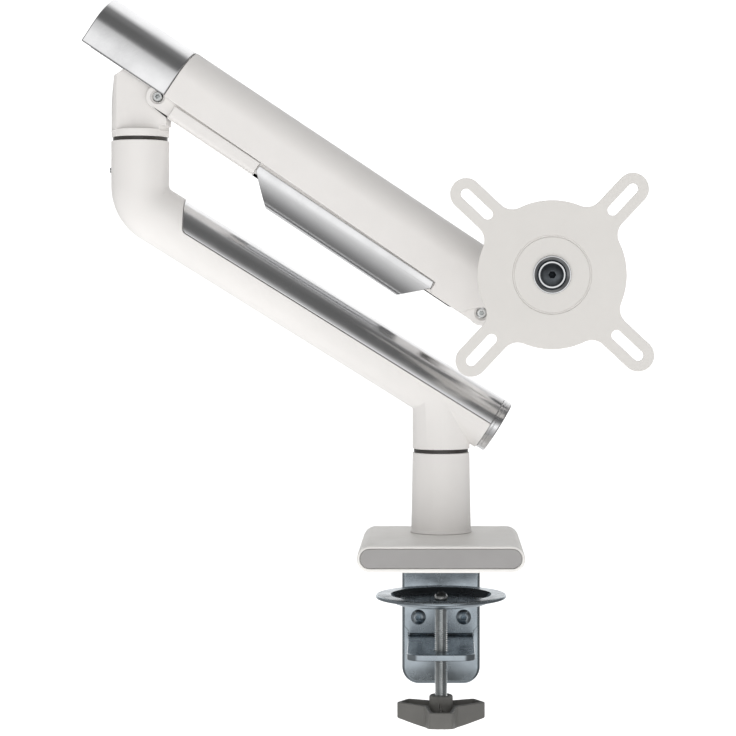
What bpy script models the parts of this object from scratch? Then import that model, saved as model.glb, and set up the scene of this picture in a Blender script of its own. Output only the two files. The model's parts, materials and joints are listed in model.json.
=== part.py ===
"""A desk-clamped monitor arm with a gas-spring parallelogram upper arm and a VESA 75/100 head.

Dimensions are in millimetres and are scaled to metres when a mesh is stored. The origin is the desk
face of the base, under the post axis. +X runs from the post towards the head, -Y is the front, +Z is up.
"""

from math import atan2, cos, degrees, pi, radians, sin, sqrt, tan

import bmesh
import bpy
from mathutils import Matrix, Vector

MM = 0.001
GAP = 0.3  # clearance between touching pieces
RUN = 0.4  # clearance of a turning or sliding fit
WELD = 1e-4
FAR = 60.0  # how far a cutter runs past what it cuts

# Base and clamp
BASE_WIDTH, BASE_BOTTOM, BASE_TOP = 101.0, 0.4, 16.7
BASE_FRONT, BASE_REAR = -78.0, 37.0
BASE_WALL = 2.4
INSERT_WIDTH, INSERT_HEIGHT, INSERT_DEPTH = 97.5, 12.2, 1.5
PAD_THICK = 2.5
PLATE_BOTTOM, PLATE_TOP, PLATE_HALF = 2.8, 10.0, 42.4
PLATE_FRONT, PLATE_REAR = -71.0, 33.8
POST_BOSS_R, POST_BOSS_TOP = 15.0, 16.6
BRACKET_WIDTH, BRACKET_THICK = 50.4, 3.0
BRACKET_REAR, BRACKET_BOTTOM, BRACKET_CORNER_R = 31.5, -85.0, 11.0
BRACKET_FLANGE_TOP, BRACKET_FLANGE_FRONT = 5.8, -28.0
BRACKET_SCREWS = [(x, y) for y in (-18.0, 17.0) for x in (-16.0, 16.0)]
JAW_THICK, JAW_TOP, JAW_BOTTOM = 4.0, -30.0, -56.8
JAW_WIDTH, JAW_FLANGE_WIDTH, JAW_FRONT = 47.5, 42.0, -52.0
JAW_SCREW_X, JAW_SCREW_Z, JAW_SCREW_R = 14.6, -41.0, 3.0
SCREW_Y, SCREW_R = -34.0, 4.0
DISC_R, DISC_RECESS_R, DISC_TOP, DISC_FLOOR, DISC_SHEET = 40.3, 31.0, -18.0, -21.3, 2.2
KNOB_TOP, KNOB_BOTTOM, KNOB_R = -86.3, -100.0, 28.0
KNOB_BOSS_R, KNOB_BOSS_TOP, KNOB_WALL = 7.3, -80.3, 2.2
KNOB_ARM_HALF, KNOB_VALLEY_R, KNOB_FLOOR = 7.2, 11.5, -91.0
KNOB_TAPER_R, KNOB_TAPER_RISE = 9.0, 3.8  # the arms' undersides rise from this radius to their tips

# Post and lower arm
POST_TOP_R, POST_FOOT_R, POST_BORE_R, POST_TOP = 18.0, 18.9, 15.0, 67.3
RING_R, RING_HEIGHT = 17.2, 1.8
SPINDLE_R, SLEEVE_R = 8.0, 10.3
TUBE_R, TUBE_BORE_R = 18.3, 15.9
BARREL_R, BARREL_BOTTOM = 18.1, 69.7
LOWER_TILT, BEAM_Z = radians(31.9), 105.4  # the beam's axis crosses the post axis at BEAM_Z
ELBOW_X, ELBOW_BEND_R, ELBOW_TOP = -190.7, 21.0, 264.3
BEAM_END, CAP_THICK = 36.6, 5.5
COVER_R, COVER_BORE_R, COVER_END_X = 17.5, 16.0, -162.0
HUB_R, HUB_TOP = 13.0, 96.0
GRUB_Z, GRUB_R = 246.0, 2.0

# Knuckle and upper arm: the lower link turns on LINK_PIN, the shell on ARM_PIN
ARM_TILT, ARM_LENGTH, PIN_RISE = radians(33.74), 244.3, 23.5
LINK_PIN = Vector((-177.7, 0.0, 291.2))
ARM_PIN = LINK_PIN + Vector((0.0, 0.0, PIN_RISE))
ARM_AXIS = Vector((cos(ARM_TILT), 0.0, -sin(ARM_TILT)))
HEAD_LINK_PIN = LINK_PIN + ARM_LENGTH * ARM_AXIS
HEAD_ARM_PIN = ARM_PIN + ARM_LENGTH * ARM_AXIS
PIN_U, PIN_N = -PIN_RISE * sin(ARM_TILT), PIN_RISE * cos(ARM_TILT)  # arm pin seen from the link pin
KNUCKLE_BOTTOM, KNUCKLE_FLANGE_TOP, KNUCKLE_HALF = 266.7, 271.6, 12.0
FORK_HALF, FORK_BOTTOM = 7.5, 286.0
SHELL_HALF, SHELL_WALL, SHELL_TOP = 18.5, 2.5, 36.9
SLEEVE_REAR, SLEEVE_FRONT, SLEEVE_EDGE = -59.0, 3.0, 2.7
STEP_U, STEP_FRONT_U, STEP_N, SHELL_END_R = 209.6, 236.0, -7.4, 20.0
SPIGOT_HALF, SPIGOT_WALL, SPIGOT_REAR = 16.2, 2.6, -24.0
LINK_OUT, LINK_FLANGE_OUT, LINK_FLANGE_IN = 17.9, 15.6, 13.2
LINK_BOTTOM, LINK_SHEET, LINK_TOP, LINK_EAR_R = -7.5, 2.4, 5.0, 7.5
LINK_FRONT, LINK_STRIP_END, LINK_END = 12.6, 76.9, 225.0
TRAY_HALF, TRAY_WALL = 17.6, 1.7
TRAY_SIDE = [(77.3, -4.5), (94.6, -20.8), (193.4, -20.4), (209.2, -4.8), (208.4, -0.5), (77.3, -0.5)]
PIVOT_R, LINK_PIVOT_R = 4.0, 3.0

# Gas spring: its anchor pin sits ANCHOR_DROP under the arm pin
ANCHOR_DROP, ANCHOR_R, EYE_R, EYE_BORE_R, EYE_HALF = 12.0, 2.5, 6.0, 3.9, 3.7
SPRING_N, SPRING_R, SPRING_BORE_R, SPRING_ROD_R = 8.54, 9.0, 4.4, 4.0
SPRING_FRONT, SPRING_REAR, SPRING_PIN_U, SPRING_PIN_R = 60.0, 186.0, 200.0, 3.0
TENSION_X, TENSION_R = ELBOW_X, 3.0

# Head
HEAD_X, HEAD_Z, TILT_Y = 66.6, 178.7, -28.0
BLOCK_HALF, BLOCK_R = 11.0, 8.0
SOCKET_R, SOCKET_BOTTOM, SOCKET_TOP = 15.0, 139.0, 167.0
HEAD_SPINDLE_R, YOKE_R, YOKE_BOTTOM, YOKE_TOP = 6.0, 14.0, 169.2, 189.5
EAR_IN, EAR_OUT, EAR_R, TILT_HUB_HALF, TILT_R = 10.3, 14.3, 10.0, 9.0, 4.0
VESA_FACE, VESA_THICK, VESA_ROLL = -74.5, 2.5, radians(1.8)
VESA_DISC_R, LEG_HALF, LEG_FILLET_R, SLOT_HALF, SLOT_SHIFT = 44.7, 9.6, 10.0, 3.2, 1.0
VESA_SMALL, VESA_LARGE = 75.0 / sqrt(2.0), 100.0 / sqrt(2.0)  # hole circles of the two patterns
BUSHING_R, BUSHING_LIP_R, BUSHING_BORE_R, BOLT_HEAD_R = 10.9, 11.6, 8.0, 7.1

# Frames: each maps a local (x, y, depth) to the object's millimetres
PLAN = Matrix.Identity(4)  # outline seen from above, depth upwards
FRONT = Matrix(((1, 0, 0, 0), (0, 0, -1, 0), (0, 1, 0, 0), (0, 0, 0, 1)))  # from the front, depth to -Y
SIDE = Matrix(((0, 0, 1, 0), (1, 0, 0, 0), (0, 1, 0, 0), (0, 0, 0, 1)))  # (Y, Z), depth along +X
BEAM = Matrix.Translation((0.0, 0.0, BEAM_Z)) @ Matrix.Rotation(LOWER_TILT, 4, "Y")
ARM = Matrix.Translation(LINK_PIN) @ Matrix.Rotation(ARM_TILT, 4, "Y")
HEAD = Matrix.Translation((HEAD_X, 0.0, HEAD_Z))

# Finishes: colour, roughness, metallic
FINISHES = {
    "white_paint": ((0.80, 0.78, 0.76), 0.45, 0.0),
    "base_plastic": ((0.72, 0.71, 0.68), 0.5, 0.0),
    "grey_insert": ((0.38, 0.37, 0.365), 0.55, 0.0),
    "vesa_paint": ((0.73, 0.71, 0.68), 0.5, 0.0),
    "aluminium": ((0.70, 0.70, 0.71), 0.25, 1.0),
    "zinc": ((0.42, 0.47, 0.52), 0.35, 1.0),
    "bright_zinc": ((0.66, 0.68, 0.68), 0.25, 1.0),
    "chrome": ((0.72, 0.74, 0.76), 0.12, 1.0),
    "dark_steel": ((0.13, 0.14, 0.15), 0.4, 1.0),
    "knob_plastic": ((0.155, 0.152, 0.142), 0.55, 0.0),
    "black_polymer": ((0.06, 0.055, 0.05), 0.5, 0.0),
    "rubber": ((0.05, 0.05, 0.05), 0.8, 0.0),
    "cast_iron": ((0.25, 0.25, 0.26), 0.6, 1.0),
    "spring_black": ((0.03, 0.03, 0.032), 0.35, 0.0),
}


def facing(x, y, z, axis):
    """A frame at a point, in millimetres, whose depth runs along an axis named +X, -Y and so on."""
    turns = {
        "+Z": Matrix.Identity(4),
        "-Z": Matrix.Rotation(pi, 4, "X"),
        "+X": Matrix.Rotation(pi / 2, 4, "Y"),
        "-X": Matrix.Rotation(-pi / 2, 4, "Y"),
        "-Y": Matrix.Rotation(pi / 2, 4, "X"),
        "+Y": Matrix.Rotation(-pi / 2, 4, "X"),
    }
    return Matrix.Translation((x, y, z)) @ turns[axis]


# ---- Outlines ------------------------------------------------------------------------------------


def arc(x, y, r, start, end, steps):
    """Points on a circle from angle start to angle end, both in degrees, ends included."""
    angles = [radians(start + (end - start) * i / steps) for i in range(steps + 1)]
    return [(x + r * cos(a), y + r * sin(a)) for a in angles]


def disc(x, y, r, steps=20):
    return arc(x, y, r, 0.0, 360.0, steps)[:-1]


def box(x0, x1, y0, y1):
    return [(x0, y0), (x1, y0), (x1, y1), (x0, y1)]


def capsule(x0, y0, x1, y1, r, steps=8):
    """The outline of a bar with round ends about two centres."""
    a = degrees(atan2(y1 - y0, x1 - x0))
    return arc(x1, y1, r, a - 90, a + 90, steps) + arc(x0, y0, r, a + 90, a + 270, steps)


def filleted(corners, steps=4):
    """A polygon of (x, y, fillet radius) corners, with each corner rounded to its radius."""
    points = []
    for i, (x, y, r) in enumerate(corners):
        here = Vector((x, y))
        back = (Vector(corners[i - 1][:2]) - here).normalized()
        on = (Vector(corners[(i + 1) % len(corners)][:2]) - here).normalized()
        if r == 0.0:
            points.append((x, y))
            continue
        half = back.angle(on) / 2.0
        centre = here + (back + on).normalized() * (r / sin(half))
        first = here + back * (r / tan(half)) - centre
        sweep = pi - 2.0 * half
        turn = 1.0 if first.to_3d().cross((here + on * (r / tan(half)) - centre).to_3d()).z > 0 else -1.0
        for k in range(steps + 1):
            spun = Matrix.Rotation(turn * sweep * k / steps, 2) @ first
            points.append(tuple(centre + spun))
    return points


def rounded_box(x0, x1, y0, y1, r, steps=4):
    return filleted([(x, y, r) for x, y in box(x0, x1, y0, y1)], steps)


def arch(half, bottom, centre, steps=12):
    """An upright section with straight sides and a half-round top about the given height."""
    return [(-half, bottom), (half, bottom)] + arc(0.0, centre, half, 0.0, 180.0, steps)


# ---- Meshes and objects --------------------------------------------------------------------------


def clear_scene():
    for thing in list(bpy.data.objects):
        bpy.data.objects.remove(thing)


def prism(outline, low, high, frame=PLAN):
    """An outline extruded along its frame's depth from low to high."""
    bm = bmesh.new()
    face = bm.faces.new([bm.verts.new((x, y, low)) for x, y in outline])
    side = bmesh.ops.extrude_face_region(bm, geom=[face])["geom"]
    raised = [v for v in side if isinstance(v, bmesh.types.BMVert)]
    bmesh.ops.translate(bm, verts=raised, vec=(0.0, 0.0, high - low))
    bm.transform(frame)
    return bm


def turned(profile, frame=PLAN, steps=24):
    """A profile of (radius, depth) points spun about the frame's depth axis; ends at radius 0 or closes."""
    bm = bmesh.new()
    verts = [bm.verts.new((r, 0.0, z)) for r, z in profile]
    pairs = list(zip(verts, verts[1:]))
    if profile[0][0] > 0.0 or profile[-1][0] > 0.0:
        pairs.append((verts[-1], verts[0]))
    edges = [bm.edges.new(pair) for pair in pairs]
    bmesh.ops.spin(
        bm, geom=verts + edges, cent=(0, 0, 0), axis=(0, 0, 1), angle=2.0 * pi, steps=steps
    )
    bmesh.ops.remove_doubles(bm, verts=bm.verts, dist=WELD)
    bm.transform(frame)
    return bm


def cylinder(r, low, high, frame=PLAN, steps=24):
    return prism(disc(0.0, 0.0, r, steps), low, high, frame)


def bar(x, y, r, low, high, frame=FRONT, steps=16):
    """A round bar along the frame's depth, centred on (x, y)."""
    return prism(disc(x, y, r, steps), low, high, frame)


def loft(rings):
    """A closed skin through rings of equally many points."""
    bm = bmesh.new()
    loops = [[bm.verts.new(point) for point in ring] for ring in rings]
    for near, far in zip(loops, loops[1:]):
        for i in range(len(near)):
            k = (i + 1) % len(near)
            bm.faces.new((near[i], near[k], far[k], far[i]))
    bm.faces.new(loops[0])
    bm.faces.new(loops[-1])
    return bm


def stored(bm, name, origin):
    """The mesh data of a millimetre bmesh, in metres about an origin, with smooth round sides."""
    bmesh.ops.recalc_face_normals(bm, faces=bm.faces)
    if bm.calc_volume(signed=True) < 0.0:
        bmesh.ops.reverse_faces(bm, faces=bm.faces)
    bm.transform(Matrix.Scale(MM, 4) @ Matrix.Translation(-origin))
    mesh = bpy.data.meshes.new(name)
    bm.to_mesh(mesh)
    bm.free()
    mesh.shade_smooth()
    mesh.set_sharp_from_angle(angle=radians(35.0))
    return mesh


def finish_material(name, finish):
    colour, roughness, metallic = FINISHES[finish]
    material = bpy.data.materials.new(name)
    material.use_nodes = True
    shader = material.node_tree.nodes["Principled BSDF"]
    shader.inputs["Base Color"].default_value = (*colour, 1.0)
    shader.inputs["Roughness"].default_value = roughness
    shader.inputs["Metallic"].default_value = metallic
    return material


def pivot(name, place, parent=None):
    """An empty on a joint's axis, which carries one rigid body."""
    empty = bpy.data.objects.new(name, None)
    bpy.context.scene.collection.objects.link(empty)
    empty.empty_display_size = 10.0 * MM
    empty["place"] = tuple(place)
    empty.parent = parent
    base = Vector(parent["place"]) if parent else Vector()
    empty.location = (Vector(place) - base) * MM
    return empty


def piece(name, bm, body, finish):
    """A named sub-part of a body."""
    thing = bpy.data.objects.new(name, stored(bm, name, Vector(body["place"])))
    bpy.context.scene.collection.objects.link(thing)
    thing.data.materials.append(finish_material(f"{name}_{finish}", finish))
    thing.parent = body
    return thing


def helper(name, bm, body):
    """A hidden solid for a Boolean."""
    thing = bpy.data.objects.new(name, stored(bm, name, Vector(body["place"])))
    bpy.context.scene.collection.objects.link(thing)
    thing.parent = body
    thing.hide_render = True
    thing.display_type = "WIRE"
    return thing


def combine(thing, operation, *tools):
    """Adds solids to a piece, or takes them away, with exact Booleans."""
    for tool in tools:
        name = f"{thing.name}_{operation.lower()}_{len(thing.modifiers)}"
        modifier = thing.modifiers.new(name, "BOOLEAN")
        modifier.operation = operation
        modifier.object = tool if isinstance(tool, bpy.types.Object) else helper(name, tool, thing.parent)
    return thing


def cut(thing, *tools):
    return combine(thing, "DIFFERENCE", *tools)


def join(thing, *tools):
    return combine(thing, "UNION", *tools)


def keep(thing, *tools):
    return combine(thing, "INTERSECT", *tools)


def bolt(name, body, finish, frame, shaft_r, head_r, length, head_height, steps=12):
    """A bolt whose head starts at depth 0 and stands towards +depth, with the shaft running to -length."""
    socket_r, socket_floor = 0.45 * head_r, 0.45 * head_height
    profile = [(0.0, -length), (shaft_r, -length), (shaft_r, 0.0), (head_r, 0.0), (head_r, head_height)]
    profile += [(socket_r, head_height), (socket_r, socket_floor), (0.0, socket_floor)]
    return piece(name, turned(profile, frame, steps), body, finish)


def hex_nut(name, body, finish, frame, across, bore_r, height):
    nut = prism(disc(0.0, 0.0, across / sqrt(3.0), 6), 0.0, height, frame)
    return cut(piece(name, nut, body, finish), cylinder(bore_r, -FAR, FAR, frame, 16))


# ---- Base and clamp ------------------------------------------------------------------------------


def make_base(root):
    half, middle = BASE_WIDTH / 2.0, (BASE_TOP + BASE_BOTTOM) / 2.0
    end_r = (BASE_TOP - BASE_BOTTOM) / 2.0
    section = capsule(-half + end_r, middle, half - end_r, middle, end_r, 10)
    cover = piece("base_cover", prism(section, -BASE_REAR, -BASE_FRONT, FRONT), root, "base_plastic")
    insert_end = INSERT_HEIGHT / 2.0
    insert_x = INSERT_WIDTH / 2.0 - insert_end
    insert_z = middle + 0.4

    def insert_outline(shrink):
        return capsule(-insert_x, insert_z, insert_x, insert_z, insert_end - shrink, 10)

    hollow = box(-PLATE_HALF - 0.6, PLATE_HALF + 0.6, -FAR, BASE_TOP - BASE_WALL)
    cut(
        cover,
        prism(insert_outline(0.0), -BASE_FRONT - INSERT_DEPTH, -BASE_FRONT + FAR, FRONT),
        prism(hollow, -BASE_REAR + BASE_WALL, -BASE_FRONT - 2.0 * BASE_WALL, FRONT),
        cylinder(POST_BOSS_R + RUN, 0.0, FAR),
    )
    piece(
        "base_front_insert",
        prism(insert_outline(GAP), -BASE_FRONT - INSERT_DEPTH + GAP, -BASE_FRONT - GAP, FRONT),
        root,
        "grey_insert",
    )
    pad_rear = BRACKET_REAR - BRACKET_THICK - GAP
    pad = rounded_box(-PLATE_HALF, PLATE_HALF, PLATE_FRONT, pad_rear, 3.0)
    piece("desk_pad", prism(pad, 0.0, PAD_THICK), root, "rubber")

    plate = prism(box(-PLATE_HALF, PLATE_HALF, PLATE_FRONT, PLATE_REAR), PLATE_BOTTOM, PLATE_TOP)
    plate = piece("base_plate", plate, root, "cast_iron")
    join(plate, cylinder(POST_BOSS_R, PLATE_TOP - 1.0, POST_BOSS_TOP))
    recess_half = BRACKET_WIDTH / 2.0 + RUN
    bolt_r, head_r, head_top, screw_r = 5.1, 7.5, 12.8, 2.9
    cut(
        plate,
        prism(
            box(-recess_half, recess_half, BRACKET_FLANGE_FRONT - RUN, FAR),
            -FAR,
            BRACKET_FLANGE_TOP + GAP,
        ),
        cylinder(head_r, 0.0, head_top, steps=20),
        cylinder(bolt_r, 0.0, FAR, steps=20),
        *[bar(x, y, screw_r, 0.0, FAR, PLAN, 10) for x, y in BRACKET_SCREWS],
    )


def make_bracket(root):
    rear, bend = BRACKET_REAR, 4.0
    inner = rear - BRACKET_THICK
    low, high = BRACKET_FLANGE_TOP - BRACKET_THICK, BRACKET_FLANGE_TOP
    side = filleted(
        [
            (BRACKET_FLANGE_FRONT, low, 0.0),
            (inner, low, bend - BRACKET_THICK),
            (inner, BRACKET_BOTTOM, 0.0),
            (rear, BRACKET_BOTTOM, 0.0),
            (rear, high, bend),
            (BRACKET_FLANGE_FRONT, high, 0.0),
        ]
    )
    half = BRACKET_WIDTH / 2.0
    bracket = piece("clamp_bracket", prism(side, -half, half, SIDE), root, "zinc")
    corner = BRACKET_CORNER_R
    blank = filleted(
        [
            (-half, BRACKET_BOTTOM, corner),
            (half, BRACKET_BOTTOM, corner),
            (half, FAR, 0.0),
            (-half, FAR, 0.0),
        ],
        8,
    )
    keep(bracket, prism(blank, -FAR, FAR, FRONT))
    for x in (-JAW_SCREW_X, JAW_SCREW_X):
        cut(bracket, bar(x, JAW_SCREW_Z, JAW_SCREW_R + GAP, -FAR, 0.0, FRONT, 16))
    sink_r, shaft_r, socket_r = 4.9, 2.4, 1.5
    hole_r = shaft_r + RUN
    for i, (x, y) in enumerate(BRACKET_SCREWS):
        sink = [(0.0, -FAR), (sink_r, -FAR), (sink_r, low)]
        sink += [(hole_r, high), (hole_r, high + 5.0), (0.0, high + 5.0)]
        cut(bracket, turned(sink, Matrix.Translation((x, y, 0.0)), 10))
        screw = [(0.0, low + 1.2), (socket_r, low + 1.2), (socket_r, low + 0.2), (sink_r - 0.5, low + 0.2)]
        screw += [(shaft_r, high - GAP), (shaft_r, PLATE_TOP - 2.0 * GAP), (0.0, PLATE_TOP - 2.0 * GAP)]
        screw = turned(screw, Matrix.Translation((x, y, 0.0)), 10)
        piece(f"bracket_screw_{i + 1}", screw, root, "zinc")


def make_jaw(root):
    face = BRACKET_REAR - BRACKET_THICK - GAP
    half, low_half = JAW_WIDTH / 2.0, JAW_FLANGE_WIDTH / 2.0
    upright = filleted(
        [
            (-low_half, JAW_BOTTOM, 0.0),
            (low_half, JAW_BOTTOM, 0.0),
            (low_half, JAW_BOTTOM + 7.0, 2.0),
            (half, JAW_BOTTOM + 9.5, 2.0),
            (half, JAW_TOP, 2.0),
            (-half, JAW_TOP, 2.0),
            (-half, JAW_BOTTOM + 9.5, 2.0),
            (-low_half, JAW_BOTTOM + 7.0, 2.0),
        ],
        3,
    )
    head_r, head_height, bolt_length, nut_across, nut_height = 4.8, 2.8, 13.0, 10.0, 4.6
    jaw = piece("lower_jaw", prism(upright, -face, -face + JAW_THICK, FRONT), root, "zinc")
    flange = filleted(
        [
            (-low_half, JAW_FRONT, 8.0),
            (low_half, JAW_FRONT, 8.0),
            (low_half, face - 0.5, 0.0),
            (-low_half, face - 0.5, 0.0),
        ],
        5,
    )
    join(jaw, prism(flange, JAW_BOTTOM, JAW_BOTTOM + JAW_THICK))
    cut(jaw, bar(0.0, SCREW_Y, SCREW_R + RUN, -FAR * 2.0, 0.0, PLAN, 24))
    front = face - JAW_THICK
    for i, x in enumerate((-JAW_SCREW_X, JAW_SCREW_X)):
        cut(jaw, bar(x, JAW_SCREW_Z, JAW_SCREW_R + GAP, -FAR, 0.0, FRONT, 16))
        frame = facing(x, front - GAP, JAW_SCREW_Z, "-Y")
        bolt(f"jaw_screw_{i + 1}", root, "zinc", frame, JAW_SCREW_R, head_r, bolt_length, head_height)
        frame = facing(x, BRACKET_REAR + GAP, JAW_SCREW_Z, "+Y")
        hex_nut(f"jaw_nut_{i + 1}", root, "zinc", frame, nut_across, JAW_SCREW_R + GAP, nut_height)


def knob_outline(shrink):
    """A three-arm knob seen from above: square arm ends joined by hollow sides."""
    end, half, valley = KNOB_R - shrink, KNOB_ARM_HALF - shrink, KNOB_VALLEY_R - 1.15 * shrink
    corners = []
    for turn in (-90.0, 30.0, 150.0):
        for x, y, r in ((end, -half, 2.0), (end, half, 2.0), (0.5 * valley, sqrt(0.75) * valley, 6.0)):
            spot = Matrix.Rotation(radians(turn), 2) @ Vector((x, y))
            corners.append((spot.x, spot.y, r))
    return filleted(corners, 3)


def make_clamp(root):
    sheet = DISC_SHEET
    disc_body = pivot("pressure_disc_body", (0.0, SCREW_Y, DISC_TOP), root)
    at_screw = Matrix.Translation((0.0, SCREW_Y, 0.0))
    hole = SCREW_R - 1.0 + RUN
    profile = [
        (hole, DISC_FLOOR - sheet),
        (DISC_RECESS_R - 2.0, DISC_FLOOR - sheet),
        (DISC_RECESS_R + 1.0, DISC_TOP - sheet),
        (DISC_R, DISC_TOP - sheet),
        (DISC_R, DISC_TOP),
        (DISC_RECESS_R, DISC_TOP),
        (DISC_RECESS_R - 3.0, DISC_FLOOR),
        (hole, DISC_FLOOR),
    ]
    piece("pressure_disc", turned(profile, at_screw, 32), disc_body, "zinc")

    screw_body = pivot("clamp_screw_body", (0.0, SCREW_Y, KNOB_TOP), disc_body)
    neck, dome = SCREW_R - 1.0, 4.3
    shaft = [
        (0.0, KNOB_BOTTOM + 4.0),
        (SCREW_R, KNOB_BOTTOM + 4.0),
        (SCREW_R, DISC_FLOOR - sheet - GAP),
        (neck, DISC_FLOOR - sheet - GAP),
        (neck, DISC_FLOOR + GAP),
        (dome, DISC_FLOOR + GAP),
        (dome - 0.3, DISC_FLOOR + 2.0),
        (dome - 2.0, DISC_FLOOR + 3.8),
        (0.0, DISC_FLOOR + 4.5),
    ]
    piece("clamp_screw", turned(shaft, at_screw, 16), screw_body, "bright_zinc")
    knob = prism(knob_outline(0.0), KNOB_BOTTOM, KNOB_TOP, at_screw)
    knob = piece("knob", knob, screw_body, "knob_plastic")
    under = KNOB_BOTTOM - 1.0
    taper = [(KNOB_TAPER_R, under), (KNOB_TAPER_R, KNOB_BOTTOM), (KNOB_R, KNOB_BOTTOM + KNOB_TAPER_RISE)]
    taper += [(KNOB_R + 3.0, KNOB_BOTTOM + KNOB_TAPER_RISE), (KNOB_R + 3.0, under)]
    cut(knob, prism(knob_outline(KNOB_WALL), KNOB_FLOOR, FAR, at_screw), turned(taper, at_screw, 24))
    boss = [(0.0, KNOB_BOTTOM + 1.0), (KNOB_BOSS_R, KNOB_BOTTOM + 1.0), (KNOB_BOSS_R, KNOB_BOSS_TOP - 1.5)]
    boss += [(KNOB_BOSS_R - 1.5, KNOB_BOSS_TOP), (0.0, KNOB_BOSS_TOP)]
    join(knob, turned(boss, at_screw, 16))
    cut(knob, cylinder(SCREW_R + GAP, KNOB_BOTTOM + 3.6, FAR, at_screw, 16))


# ---- Post and lower arm --------------------------------------------------------------------------


def make_post(root):
    foot = POST_BOSS_TOP + GAP
    profile = [
        (POST_BORE_R, foot),
        (POST_FOOT_R + 0.8, foot),
        (POST_FOOT_R, foot + 2.0),
        (POST_TOP_R, POST_TOP - 0.5),
        (POST_TOP_R - 0.5, POST_TOP),
        (POST_BORE_R, POST_TOP),
    ]
    piece("post_tube", turned(profile, steps=28), root, "white_paint")
    collar, bolt_hole_r = POST_BORE_R - RUN, 5.1
    screw_hole_r = 3.3
    spindle = [
        (bolt_hole_r, foot),
        (collar, foot),
        (collar, foot + 5.0),
        (SPINDLE_R, foot + 7.0),
        (SPINDLE_R, 58.0),
        (collar, 60.0),
        (collar, POST_TOP - GAP),
        (SPINDLE_R, POST_TOP - GAP),
        (SPINDLE_R, HUB_TOP + GAP),
        (screw_hole_r, HUB_TOP + GAP),
        (screw_hole_r, 44.0),
        (bolt_hole_r, 42.0),
    ]
    piece("base_spindle", turned(spindle, steps=16), root, "bright_zinc")
    bolt("post_bolt", root, "dark_steel", facing(0.0, 0.0, 12.4, "-Z"), 4.7, 7.0, 28.0, 6.0)
    washer_low = HUB_TOP + 2.0 * GAP
    washer = [(3.5, washer_low), (12.0, washer_low), (12.0, washer_low + 2.0), (3.5, washer_low + 2.0)]
    piece("spindle_washer", turned(washer, steps=16), root, "bright_zinc")
    frame = facing(0.0, 0.0, washer_low + 2.0 + GAP, "+Z")
    bolt("spindle_screw", root, "bright_zinc", frame, 3.0, 5.0, 16.0, 5.0)


def bent_tube(r, start, top, steps=20):
    """Rings of a round tube that follows the beam, turns through the elbow and ends upright at top."""
    rings = []

    def ring(x, z, heading):
        across = (-sin(heading), cos(heading))
        spots = disc(0.0, 0.0, r, steps)
        rings.append([(x + v * across[0], u, z + v * across[1]) for u, v in spots])

    rise = pi - LOWER_TILT  # the beam's heading, seen from the front
    turn = rise - pi / 2.0
    elbow_z = BEAM_Z - ELBOW_X * tan(LOWER_TILT)
    reach = ELBOW_BEND_R * tan(turn / 2.0)
    ring(start * cos(LOWER_TILT), BEAM_Z - start * sin(LOWER_TILT), rise)
    bend_z = elbow_z + reach
    centre_x = ELBOW_X + ELBOW_BEND_R
    bends = 5
    for i in range(bends + 1):
        heading = rise - turn * i / bends
        spot_x = centre_x + ELBOW_BEND_R * cos(heading + pi / 2.0)
        spot_z = bend_z + ELBOW_BEND_R * sin(heading + pi / 2.0)
        ring(spot_x, spot_z, heading)
    ring(ELBOW_X, top, pi / 2.0)
    return loft(rings)


def bushing(name, body, x, low, sleeve_low, sleeve_high):
    """A polymer ring with a sleeve: the ring shows as a dark line between two tubes."""
    bore = SPINDLE_R + RUN
    if sleeve_low < low:
        profile = [(bore, sleeve_low), (SLEEVE_R, sleeve_low), (SLEEVE_R, low), (RING_R, low)]
        profile += [(RING_R, low + RING_HEIGHT), (bore, low + RING_HEIGHT)]
    else:
        profile = [(bore, low), (RING_R, low), (RING_R, low + RING_HEIGHT), (SLEEVE_R, low + RING_HEIGHT)]
        profile += [(SLEEVE_R, sleeve_high), (bore, sleeve_high)]
    piece(name, turned(profile, Matrix.Translation((x, 0.0, 0.0)), 20), body, "black_polymer")


def cover_outline(gap):
    """Side outline of the cable cover's opening: on the beam's mid plane, with an upright rear end."""
    edge, lean = COVER_END_X / cos(LOWER_TILT), 30.0 * tan(LOWER_TILT)
    rear = edge + gap / cos(LOWER_TILT)
    return filleted(
        [
            (rear - gap * tan(LOWER_TILT), gap, 4.0),
            (FAR, gap, 0.0),
            (FAR, 30.0, 0.0),
            (rear - lean, 30.0, 0.0),
        ]
    )


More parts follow.
